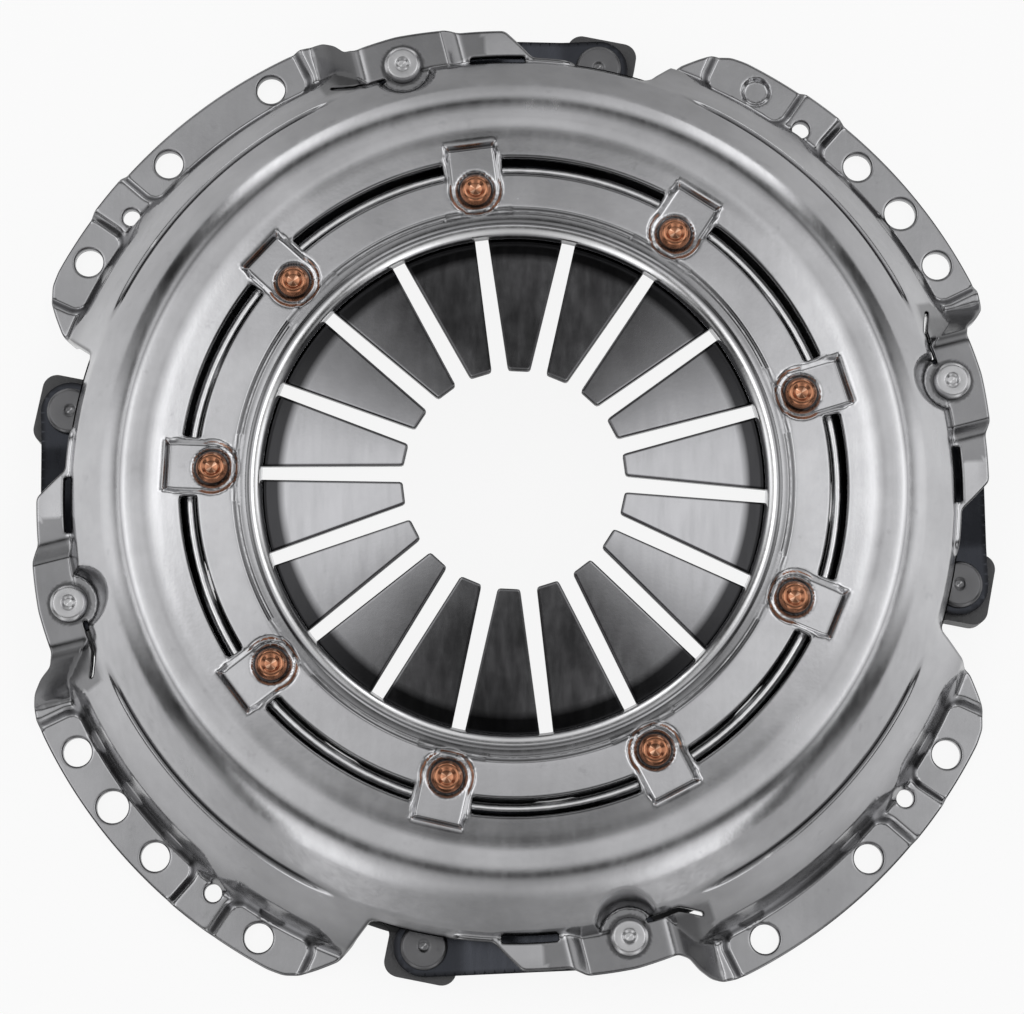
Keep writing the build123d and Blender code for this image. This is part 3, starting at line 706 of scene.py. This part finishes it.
def build_cover():
    patches = []
    for rivet in range(RIVET_COUNT):
        patches.append((FIRST_RIVET + rivet * RIVET_PITCH, RIVETS - 9, FULCRUM + 8, 10.0))
    for quarter in range(4):
        patches.append((SEAT_ANGLE + quarter * QUARTER, SEAT_RIVET - 14, SEAT_RIM + 4, 21.0))
    patches.append((BLIND_SEAT, BOLTS - 6.0, BOLTS + 6.0, 6.0))
    under = np.concatenate([ring_points(*rings) for rings in UNDER_RINGS])
    top = cover_points(patches)
    cover = plan_solid("cover_pressing", cover_loops(), top, under, cover_height)
    place = np.empty(len(cover.data.vertices) * 3)
    cover.data.vertices.foreach_get("co", place)
    x, y, z = place.reshape(-1, 3).T / MM
    radius = np.hypot(x, y)
    edge = np.empty(len(x))
    cover.data.attributes["painted_shade"].data.foreach_get("value", edge)
    edge[radius < LIP + 3] = 0
    shown = z > cover_height(x, y, 1) - 1.5
    # Painted shade on the upper face: the cover's own, and along the edges
    store(cover, "painted_shade", np.where(shown, np.maximum(cover_painted_shade(x, y), edge), 0))
    # Painted highlight on the lip's rolled inner edge
    store(cover, "lip_highlight", np.where(shown, 1 - smoothstep(LIP + 2.6, LIP + 3.4, radius), 0))
    return cover


def spring_top(radius):
    """Height of the spring's top face, free."""
    bend = LIP + 0.5
    at_bend = FULCRUM_TOP + (FULCRUM - bend) * tan(radians(RING_CONE))
    ring = FULCRUM_TOP + (FULCRUM - radius) * tan(radians(RING_CONE))
    return np.where(radius > bend, ring, at_bend + (bend - radius) * tan(radians(FINGER_CONE)))


def spring_height(x, y, side):
    top = spring_top(np.hypot(x, y))
    return top if side > 0 else top - SPRING_THICKNESS / cos(radians(RING_CONE))


# Gap between two fingers: half its width at the inner end, how much less it is at the rivets, and
# the radius of the round window there
GAP_START = 30
GAP_HALF = 2.5
GAP_NARROWING = 0.6
WINDOW = 5.9


def finger_loop():
    """Outline of one finger that points along +X, out to the fulcrum."""
    half_pitch = radians(FINGER_PITCH / 2)
    edge = []
    for out in np.linspace(33.9, RIVETS - 5.6, 60):
        share = (out - GAP_START) / (RIVETS - GAP_START)
        edge.append((out, GAP_HALF - GAP_NARROWING * share))
    for turn in np.linspace(pi - 0.33, 0, 14):
        edge.append((RIVETS + WINDOW * cos(turn), WINDOW * sin(turn)))
    edge = turned(edge, -degrees(half_pitch))
    edge = edge[edge[:, 0] > TIP + 0.15]
    tip = [(TIP, y) for y in np.linspace(edge[0][1] + 0.5, -edge[0][1] - 0.5, 12)]
    turns = np.linspace(-half_pitch, half_pitch, 30)
    rim = [FULCRUM * np.array((cos(turn), sin(turn))) for turn in turns]
    mirrored = edge[::-1] * (1, -1)
    return even_loop(np.concatenate([edge, rim, mirrored, tip[::-1]]), 0.7)


def rim_loop():
    """Outline of one sector of the spring's rim, along +X."""
    half_pitch = radians(FINGER_PITCH / 2)
    turns = np.linspace(-half_pitch, half_pitch, 30)
    outer = [SPRING_RIM * np.array((cos(a), sin(a))) for a in turns]
    inner = [FULCRUM * np.array((cos(a), sin(a))) for a in turns[::-1]]
    sides = [FULCRUM + step for step in np.linspace(1, 20, 14)]
    right = [(r * cos(-half_pitch), r * sin(-half_pitch)) for r in sides]
    left = [(r * cos(half_pitch), r * sin(half_pitch)) for r in sides[::-1]]
    return even_loop(np.concatenate([right, outer, left, inner]), 1.2)


def build_spring(material):
    """Fingers and rim of the spring, as one piece for each sector."""
    grid = grid_points(np.arange(TIP, SPRING_RIM, 1.6), np.arange(-24, 24, 1.6))
    finger = finger_loop()
    rim = rim_loop()
    for index in range(FINGERS):
        angle = FIRST_RIVET + (index + 0.5) * FINGER_PITCH
        for kind, loop, body, reach in (
            ("finger", finger, "diaphragm", TIP),
            ("spring_rim", rim, "pressure_plate", BEAD),
        ):
            points = turned(inside_loop(grid, loop), angle)
            loops = [turned(loop, angle)]
            name = f"{kind}_{index + 1}"
            piece = plan_solid(name, loops, points, points, spring_height, rounding=0.45)
            dress(piece, material, "spring_steel", "diaphragm_spring")
            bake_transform(piece)


def build_straps(material):
    """Drive strap leaves, bent between the seat on the cover and the lug on the plate."""
    rise = SEAT - SHEET - LEAVES * LEAF - LUG_TOP
    for quarter in range(4):
        lug = polar(LUG_RIVET, LUG_ANGLE + quarter * QUARTER)
        seat = polar(SEAT_RIVET, SEAT_ANGLE + quarter * QUARTER)
        span = np.hypot(*(seat - lug))
        direction = degrees(atan2(*(seat - lug)[::-1]))
        along = (seat - lug) / span
        ends = []
        for centre, turns in (
            (span, np.linspace(-pi / 2, pi / 2, 24)),
            (0.0, np.linspace(pi / 2, 1.5 * pi, 24)),
        ):
            ends += [(centre + LEAF_HALF * cos(turn), LEAF_HALF * sin(turn)) for turn in turns]
        outline = even_loop(np.array(ends), 1.0)
        grid = grid_points(np.arange(-9, span + 9, 1.5), np.arange(-9, 9.1, 1.5))
        points = turned(inside_loop(grid, outline), direction) + lug
        loops = [turned(outline, direction) + lug]
        loops += [circle_loop(centre, STRAP_HOLE) for centre in (lug, seat)]
        for leaf in range(LEAVES):
            base = LUG_TOP + leaf * LEAF

            def leaf_height(x, y, side):
                out = (x - lug[0]) * along[0] + (y - lug[1]) * along[1]
                slope = np.clip((out - LEAF_FLAT) / (span - 2 * LEAF_FLAT), 0, 1)
                return base + rise * slope + (LEAF if side > 0 else 0)

            name = f"strap_{quarter + 1}_{leaf + 1}"
            piece = plan_solid(name, loops, points, points, leaf_height, rounding=0.15)
            dress(piece, material, "strap_steel", f"strap_{quarter + 1}_leaf_{leaf + 1}")
            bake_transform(piece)


def lathe(name, centre, profile, segments=64):
    """Turned piece from its half section, a list of radius, height and corner rounding."""
    line = []
    corners = [np.array(corner[:2], float) for corner in profile]
    for index, corner in enumerate(corners):
        rounding = profile[index][2] if len(profile[index]) > 2 else 0
        if not rounding:
            line.append(corner)
            continue
        back = corners[index - 1] - corner
        ahead = corners[index + 1] - corner
        back = back / np.linalg.norm(back)
        ahead = ahead / np.linalg.norm(ahead)
        for step in np.linspace(0, 1, 5):
            a = corner + back * rounding * (1 - step)
            b = corner + ahead * rounding * step
            line.append(a + (b - a) * step)
    vertices = []
    for radius, height in line:
        reach = max(radius, 0.01)
        for segment in range(segments):
            turn = 2 * pi * segment / segments
            vertices.append((centre[0] + reach * cos(turn), centre[1] + reach * sin(turn), height))
    faces = []
    for ring in range(len(line) - 1):
        for segment in range(segments):
            a = ring * segments + segment
            b = ring * segments + (segment + 1) % segments
            faces.append((a, b, b + segments, a + segments))
    faces.append(tuple(range(segments))[::-1])
    faces.append(tuple(range((len(line) - 1) * segments, len(line) * segments)))
    return make_object(name, vertices, faces, crease=50.0)


# Half sections of the rivets from the lower end up: radius, height and corner rounding
DISH_FLOOR = RIVET_PAD - RIVET_DISH
STRAP_UNDER = SEAT - SHEET - LEAVES * LEAF
LUG_HEAD = LUG_TOP + LEAVES * LEAF
FULCRUM_RIVET = (
    (0, RIVET_FLANGE - 2.6),
    (7.6, RIVET_FLANGE - 2.6, 0.5),
    (8.6, RIVET_FLANGE - 1.6, 0.5),
    (8.6, RIVET_FLANGE),
    (4.3, RIVET_FLANGE),
    (4.3, RIVET_PAD - SHEET),
    (3.2, RIVET_PAD - SHEET),
    (3.2, DISH_FLOOR),
    (4.8, DISH_FLOOR),
    (4.8, DISH_FLOOR + 1.6, 0.5),
    (3.75, DISH_FLOOR + 3.15, 0.35),
    (2.9, DISH_FLOOR + 3.4, 0.25),
    (2.0, DISH_FLOOR + 2.5, 0.3),
    (0, DISH_FLOOR + 2.1),
)
STRAP_RIVET = (
    (0, STRAP_UNDER - 2.2),
    (5.9, STRAP_UNDER - 2.2, 0.4),
    (6.6, STRAP_UNDER - 1.5, 0.4),
    (6.6, STRAP_UNDER),
    (3.95, STRAP_UNDER),
    (3.95, SEAT),
    (5.8, SEAT, 0.2),
    (5.8, SEAT + 1.5, 0.6),
    (4.7, SEAT + 2.4, 0.5),
    (2.2, SEAT + 2.35, 0.5),
    (1.3, SEAT + 1.7, 0.3),
    (0, SEAT + 1.7),
)
PLATE_RIVET = (
    (0, LUG_POCKET - 2.4),
    (5.8, LUG_POCKET - 2.4, 0.4),
    (6.5, LUG_POCKET - 1.7, 0.4),
    (6.5, LUG_POCKET),
    (3.95, LUG_POCKET),
    (3.95, LUG_HEAD),
    (7.2, LUG_HEAD, 0.2),
    (7.2, LUG_HEAD + 1.4, 0.6),
    (6.3, LUG_HEAD + 2.2, 0.4),
    (2.0, LUG_HEAD + 2.15, 0.4),
    (1.2, LUG_HEAD + 1.75, 0.3),
    (0, LUG_HEAD + 1.75),
)


def build_rivets(copper, bright, dark):
    for index in range(RIVET_COUNT):
        centre = polar(RIVETS, FIRST_RIVET + index * RIVET_PITCH)
        piece = lathe(f"rivet_{index + 1}", centre, FULCRUM_RIVET)
        dress(piece, copper, "coppered_steel", f"fulcrum_rivet_{index + 1}")
        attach(piece, "cover")
    for quarter in range(4):
        centre = polar(SEAT_RIVET, SEAT_ANGLE + quarter * QUARTER)
        piece = lathe(f"seat_rivet_{quarter + 1}", centre, STRAP_RIVET)
        dress(piece, bright, "rivet_steel", f"strap_rivet_{quarter + 1}")
        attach(piece, "cover")
        centre = polar(LUG_RIVET, LUG_ANGLE + quarter * QUARTER)
        piece = lathe(f"plate_rivet_{quarter + 1}", centre, PLATE_RIVET)
        dress(piece, dark, "dark_rivet", f"lug_rivet_{quarter + 1}")
        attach(piece, "pressure_plate")


class Tree:
    """Short calls for the nodes of a shader tree."""

    def __init__(self, tree):
        self.tree = tree

    def add(self, kind, **settings):
        node = self.tree.nodes.new(kind)
        for key, value in settings.items():
            setattr(node, key, value)
        return node

    def link(self, source, target):
        self.tree.links.new(source, target)

    def fill(self, socket, value):
        """Gives a socket its own value, or links it."""
        if isinstance(value, (int, float)):
            socket.default_value = value
        else:
            self.link(value, socket)

    def math(self, operation, a, b=0.0, c=0.0, clamp=False):
        node = self.add("ShaderNodeMath", operation=operation, use_clamp=clamp)
        for socket, value in zip(node.inputs, (a, b, c)):
            self.fill(socket, value)
        return node.outputs[0]

    def parts(self, vector):
        split = self.add("ShaderNodeSeparateXYZ")
        self.link(vector, split.inputs[0])
        return split.outputs

    def squares(self, vector):
        """Squares of a vector's X and Y."""
        parts = self.parts(vector)
        return [self.math("MULTIPLY", parts[axis], parts[axis]) for axis in "XY"]

    def mix_shader(self, factor, first, second):
        node = self.add("ShaderNodeMixShader")
        for socket, value in zip(node.inputs, (factor, first, second)):
            self.link(value, socket)
        return node.outputs[0]

    def ramp(self, value, stops, brightest):
        node = self.add("ShaderNodeValToRGB")
        node.color_ramp.interpolation = "EASE"
        elements = node.color_ramp.elements
        elements.remove(elements[1])
        for index, (place, level) in enumerate(stops):
            element = elements.new(place) if index else elements[0]
            element.color = (*(level / brightest,) * 3, 1.0)
        self.link(value, node.inputs[0])
        return node.outputs[0]


class Surface(Tree):
    """A material with one principled shader."""

    def __init__(self, name):
        self.material = bpy.data.materials.new(name)
        self.material.use_nodes = True
        super().__init__(self.material.node_tree)
        self.surface = self.tree.nodes["Principled BSDF"]
        self.place = self.add("ShaderNodeTexCoord").outputs["Object"]

    def noise(self, scale, detail, rough, stretch=None):
        node = self.add("ShaderNodeTexNoise")
        node.inputs["Scale"].default_value = scale
        node.inputs["Detail"].default_value = detail
        node.inputs["Roughness"].default_value = rough
        place = self.place
        if stretch:
            mapping = self.add("ShaderNodeMapping")
            mapping.inputs["Scale"].default_value = stretch
            self.link(place, mapping.inputs["Vector"])
            place = mapping.outputs[0]
        self.link(place, node.inputs["Vector"])
        return node.outputs["Fac"]

    def attribute(self, name):
        return self.add("ShaderNodeAttribute", attribute_name=name).outputs["Fac"]

    def span(self, value, low, high, to_low=0.0, to_high=1.0):
        node = self.add("ShaderNodeMapRange", clamp=True)
        self.link(value, node.inputs["Value"])
        node.inputs["From Min"].default_value = low
        node.inputs["From Max"].default_value = high
        node.inputs["To Min"].default_value = to_low
        node.inputs["To Max"].default_value = to_high
        return node.outputs["Result"]

    def mix(self, factor, first, second):
        node = self.add("ShaderNodeMix", data_type="RGBA")
        for index, value in ((6, first), (7, second)):
            if isinstance(value, tuple):
                node.inputs[index].default_value = (*value, 1.0)
            else:
                self.link(value, node.inputs[index])
        self.link(factor, node.inputs[0])
        return node.outputs[2]

    def bump(self, height, distance, normal=None):
        node = self.add("ShaderNodeBump")
        node.inputs["Strength"].default_value = 1.0
        node.inputs["Distance"].default_value = distance
        self.link(height, node.inputs["Height"])
        if normal is not None:
            self.link(normal, node.inputs["Normal"])
        return node.outputs["Normal"]

    def radius(self):
        return self.math("SQRT", self.math("ADD", *self.squares(self.place)))

    def set(self, **values):
        for key, value in values.items():
            self.fill(self.surface.inputs[key.replace("_", " ").title()], value)


# Near-black for painted shade in the metals, and the tone of the cast iron's black paint
SHADE_AND_BLACK_PAINT = (0.012, 0.012, 0.013)
# Near-white for the painted highlight on the cover's rolled lip edge
LIP_HIGHLIGHT_TONE = (0.95, 0.95, 0.96)


def metal(name, tone, worn, roughness, grain, spots, lapped=0.0, lip_shadow_from=0.0):
    """Sheet or turned steel: blotches in tone and gloss, fine grain, brighter worn edges, and
    painted shade read from a mesh attribute.

    spots is the strength of the dark stains. lapped stretches reflections outwards, as fine rings
    round the axis do, and where it is set the cover's rolled lip edge gets a painted highlight.
    Beyond the radius given for the spring the tone is nearly black: painted shadow of the cover's
    lip on the spring, where it disappears under the cover.
    """
    shader = Surface(name)
    blotch = shader.noise(scale=38.0, detail=5.0, rough=0.6)
    fine = shader.noise(scale=900.0, detail=3.0, rough=0.6)
    streak = shader.noise(scale=420.0, detail=3.0, rough=0.55, stretch=(1.0, 0.12, 1.0))
    stain = shader.noise(scale=160.0, detail=4.0, rough=0.7)
    edge = shader.add("ShaderNodeNewGeometry").outputs["Pointiness"]
    darker = tuple(value * 0.82 for value in tone)
    stained = tuple(value * 0.35 for value in tone)
    colour = shader.mix(shader.span(blotch, 0.35, 0.65), darker, tone)
    colour = shader.mix(shader.span(edge, 0.53, 0.60, to_high=0.75), colour, worn)
    colour = shader.mix(shader.span(stain, 0.62, 0.74, to_high=spots), colour, stained)
    # Painted shade from the mesh: creases, grooves, steps and edges
    painted_shade = shader.math("MULTIPLY", shader.attribute("painted_shade"), 0.93)
    colour = shader.mix(painted_shade, colour, SHADE_AND_BLACK_PAINT)
    # Painted shadow of the cover's lip on the spring beyond the given radius
    if lip_shadow_from:
        ends = ((lip_shadow_from - 1.0) * MM, (lip_shadow_from + 1.6) * MM)
        lip_shadow = shader.span(shader.radius(), *ends, to_high=0.93)
        colour = shader.mix(lip_shadow, colour, SHADE_AND_BLACK_PAINT)
    if lapped:
        # Painted highlight on the cover's rolled lip edge
        lip_highlight = shader.math("MULTIPLY", shader.attribute("lip_highlight"), 0.7)
        colour = shader.mix(lip_highlight, colour, LIP_HIGHLIGHT_TONE)
        tangent = shader.add("ShaderNodeTangent", direction_type="RADIAL", axis="Z")
        shader.set(tangent=tangent.outputs[0], anisotropic=lapped, anisotropic_rotation=0.25)
    shader.set(base_color=colour, metallic=1.0)
    gloss = shader.span(blotch, 0.3, 0.7, roughness - 0.05, roughness + 0.06)
    scratch = shader.span(streak, 0.35, 0.75, -0.03, 0.05)
    shader.set(roughness=shader.math("ADD", gloss, scratch, clamp=True))
    normal = shader.bump(fine, 0.00002 * grain)
    shader.set(normal=shader.bump(streak, 0.00002 * grain, normal=normal))
    return shader.material


def cast_iron():
    """Black painted casting with a ground friction face below."""
    shader = Surface("cast_iron")
    geometry = shader.add("ShaderNodeNewGeometry").outputs
    facing = shader.parts(geometry["True Normal"])["Z"]
    down = shader.math("LESS_THAN", facing, -0.5)
    low = shader.math("LESS_THAN", shader.parts(shader.place)["Z"], (FRICTION_FACE + 0.9) * MM)
    ground = shader.math("MULTIPLY", down, low)
    painted = shader.math("SUBTRACT", 1.0, ground)
    groove_pitch = 0.9 * MM
    groove = shader.math("SINE", shader.math("MULTIPLY", shader.radius(), 2 * pi / groove_pitch))
    blotch = shader.noise(scale=45.0, detail=5.0, rough=0.6)
    tone = shader.span(blotch, 0.35, 0.65)
    paint = shader.mix(tone, SHADE_AND_BLACK_PAINT, (0.03, 0.03, 0.032))
    wear = shader.span(geometry["Pointiness"], 0.54, 0.62, to_high=0.5)
    paint = shader.mix(wear, paint, (0.12, 0.12, 0.125))
    iron = shader.mix(tone, (0.34, 0.34, 0.35), (0.42, 0.42, 0.43))
    shader.set(base_color=shader.mix(ground, paint, iron), metallic=ground)
    dull = shader.math("MULTIPLY", painted, shader.span(blotch, 0.3, 0.7, 0.42, 0.58))
    bright = shader.math("MULTIPLY", ground, shader.span(blotch, 0.3, 0.7, 0.26, 0.36))
    shader.set(roughness=shader.math("ADD", bright, dull))
    sand = shader.noise(scale=700.0, detail=4.0, rough=0.65)
    normal = shader.bump(shader.math("MULTIPLY", sand, painted), 0.00022)
    shader.set(normal=shader.bump(shader.math("MULTIPLY", groove, ground), 0.000006, normal=normal))
    return shader.material


def wire():
    """Drawn wire with fine lines round its section."""
    shader = Surface("wire_steel")
    lines = shader.noise(scale=260.0, detail=3.0, rough=0.6)
    colour = shader.mix(shader.span(lines, 0.3, 0.7), (0.7, 0.7, 0.71), (0.86, 0.86, 0.87))
    shader.set(base_color=colour, metallic=1.0)
    shader.set(roughness=shader.span(lines, 0.3, 0.7, 0.16, 0.24))
    shader.set(normal=shader.bump(lines, 0.00004))
    return shader.material


# Base tone, tone of worn edges, roughness, grain and strength of stains
METALS = {
    "cover_steel": ((0.56, 0.56, 0.575), (0.86, 0.86, 0.87), 0.19, 0.6, 0.18),
    "spring_steel": ((0.29, 0.29, 0.3), (0.5, 0.5, 0.51), 0.17, 0.4, 0.1),
    "coppered_steel": ((0.46, 0.21, 0.12), (0.85, 0.52, 0.36), 0.22, 0.8, 0.5),
    "rivet_steel": ((0.55, 0.55, 0.56), (0.85, 0.85, 0.86), 0.30, 1.0, 0.2),
    "dark_rivet": ((0.17, 0.17, 0.175), (0.55, 0.55, 0.56), 0.36, 1.2, 0.3),
    "strap_steel": ((0.05, 0.053, 0.062), (0.3, 0.3, 0.32), 0.28, 0.8, 0.1),
}
# The spring's radius starts its painted lip shadow; the cover's lapped setting also paints the lip
# highlight
EXTRAS = {"cover_steel": {"lapped": 0.3}, "spring_steel": {"lip_shadow_from": 69.5}}

materials = {name: metal(name, *looks, **EXTRAS.get(name, {})) for name, looks in METALS.items()}
materials["wire_steel"] = wire()
materials["cast_iron"] = cast_iron()
for row in frame["record"]["subparts"]:
    data = nodes[row["node"]].data
    data.materials.clear()
    data.materials.append(materials[row["material_slot"]])

cover = build_cover()
dress(cover, materials["cover_steel"], "cover_steel", "cover")
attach(cover, "cover")
build_spring(materials["spring_steel"])
build_straps(materials["strap_steel"])
build_rivets(materials["coppered_steel"], materials["rivet_steel"], materials["dark_rivet"])

# Camera, fitted to the photograph's view
TILT = (-9.25, 0.44, -0.11)
SHIFT = (0.21 * MM, -0.14 * MM)
DISTANCE = 991.2 * MM
FOCAL_PIXELS = 3157.6
IMAGE_WIDTH = 1024
SENSOR_WIDTH = 36.0


def add_camera():
    turn = Matrix.Identity(3)
    for angle, axis in zip(TILT, "XYZ"):
        turn = turn @ Matrix.Rotation(radians(angle), 3, axis)
    to_world = turn.transposed()
    data = bpy.data.cameras.new("camera")
    data.sensor_width = SENSOR_WIDTH
    data.lens = SENSOR_WIDTH * FOCAL_PIXELS / IMAGE_WIDTH
    data.clip_start = 0.05
    data.clip_end = 50.0
    camera = bpy.data.objects.new("camera", data)
    place = to_world @ Vector((-SHIFT[0], -SHIFT[1], DISTANCE))
    camera.matrix_world = Matrix.Translation(place) @ to_world.to_4x4()
    bpy.context.scene.collection.objects.link(camera)
    bpy.context.scene.camera = camera


# Studio light: two bright boxes left and right with a dim strip between them, as angle to the
# side and level, and how far they are masked towards -Y and +Y, as angle and share
SIDE_LIGHT = (
    (0, 0.73), (4, 0.78), (7, 0.92), (16, 1.1), (25, 2.0), (34, 2.3),
    (38, 0.9), (42, 0.3), (46, 0.3), (51, 0.8), (65, 1.2), (90, 1.1),
)
END_MASK = (
    (-90, 0.45), (-57, 0.7), (-38, 0.6), (-31, 0.4), (-25, 0.1), (-18, 0.08), (-11, 0.45),
    (-3, 0.95), (0, 1.0), (15, 1.0), (20, 0.7), (27, 0.4), (32, 0.28), (37, 0.08), (42, 0.08),
    (48, 0.5), (57, 0.85), (75, 0.7), (90, 0.6),
)
BRIGHTEST = 2.4


def add_world():
    world = bpy.data.worlds.new("studio")
    bpy.context.scene.world = world
    world.use_nodes = True
    tree = Tree(world.node_tree)
    sky = world.node_tree.nodes["Background"]
    direction = tree.parts(tree.add("ShaderNodeTexCoord").outputs["Generated"])
    across = tree.math("ARCSINE", tree.math("ABSOLUTE", direction["X"]))
    sides = [(angle / 90, level) for angle, level in SIDE_LIGHT]
    side = tree.ramp(tree.math("DIVIDE", across, pi / 2), sides, BRIGHTEST)
    towards = tree.math("MULTIPLY_ADD", tree.math("ARCSINE", direction["Y"]), 1 / pi, 0.5)
    mask = tree.ramp(towards, [(angle / 180 + 0.5, share) for angle, share in END_MASK], 1.0)
    tree.link(side, sky.inputs["Color"])
    tree.link(tree.math("MULTIPLY", mask, BRIGHTEST), sky.inputs["Strength"])
    white = tree.add("ShaderNodeBackground")
    white.inputs["Color"].default_value = (1, 1, 1, 1)
    seen = tree.add("ShaderNodeLightPath").outputs["Is Camera Ray"]
    shader = tree.mix_shader(seen, sky.outputs[0], white.outputs[0])
    tree.link(shader, world.node_tree.nodes["World Output"].inputs[0])


def add_floor():
    """Pale floor that keeps shadows and looks nearly white, dimmer in metal towards +Y and -Y."""
    half = 6.0
    z = cad_box[0][2]
    corners = [(-half, -half, z), (half, -half, z), (half, half, z), (-half, half, z)]
    mesh = bpy.data.meshes.new("floor")
    mesh.from_pydata(corners, [], [(0, 1, 2, 3)])
    floor = bpy.data.objects.new("floor", mesh)
    bpy.context.scene.collection.objects.link(floor)
    material = bpy.data.materials.new("pale_floor")
    material.use_nodes = True
    tree = Tree(material.node_tree)
    paper = material.node_tree.nodes["Principled BSDF"]
    paper.inputs["Base Color"].default_value = (0.86, 0.86, 0.86, 1)
    paper.inputs["Roughness"].default_value = 0.9
    paper.inputs["Specular IOR Level"].default_value = 0.1
    x, y = tree.squares(tree.add("ShaderNodeNewGeometry").outputs["Position"])
    endwise = tree.math("DIVIDE", y, tree.math("MAXIMUM", tree.math("ADD", x, y), 1e-6))
    path = tree.add("ShaderNodeLightPath").outputs
    seen = tree.math("MAXIMUM", path["Is Camera Ray"], path["Is Glossy Ray"])
    seen = tree.math("MAXIMUM", seen, path["Is Transmission Ray"])
    dim = tree.math("MULTIPLY", tree.math("MULTIPLY", endwise, 0.65), path["Is Glossy Ray"])
    glow = tree.add("ShaderNodeEmission")
    tree.link(tree.math("SUBTRACT", 1.0, dim), glow.inputs["Strength"])
    share = tree.math("MULTIPLY", seen, 0.9)
    shader = tree.mix_shader(share, paper.outputs[0], glow.outputs[0])
    tree.link(shader, material.node_tree.nodes["Material Output"].inputs[0])
    mesh.materials.append(material)


add_camera()
add_world()
add_floor()
bpy.context.scene.view_settings.view_transform = "Standard"
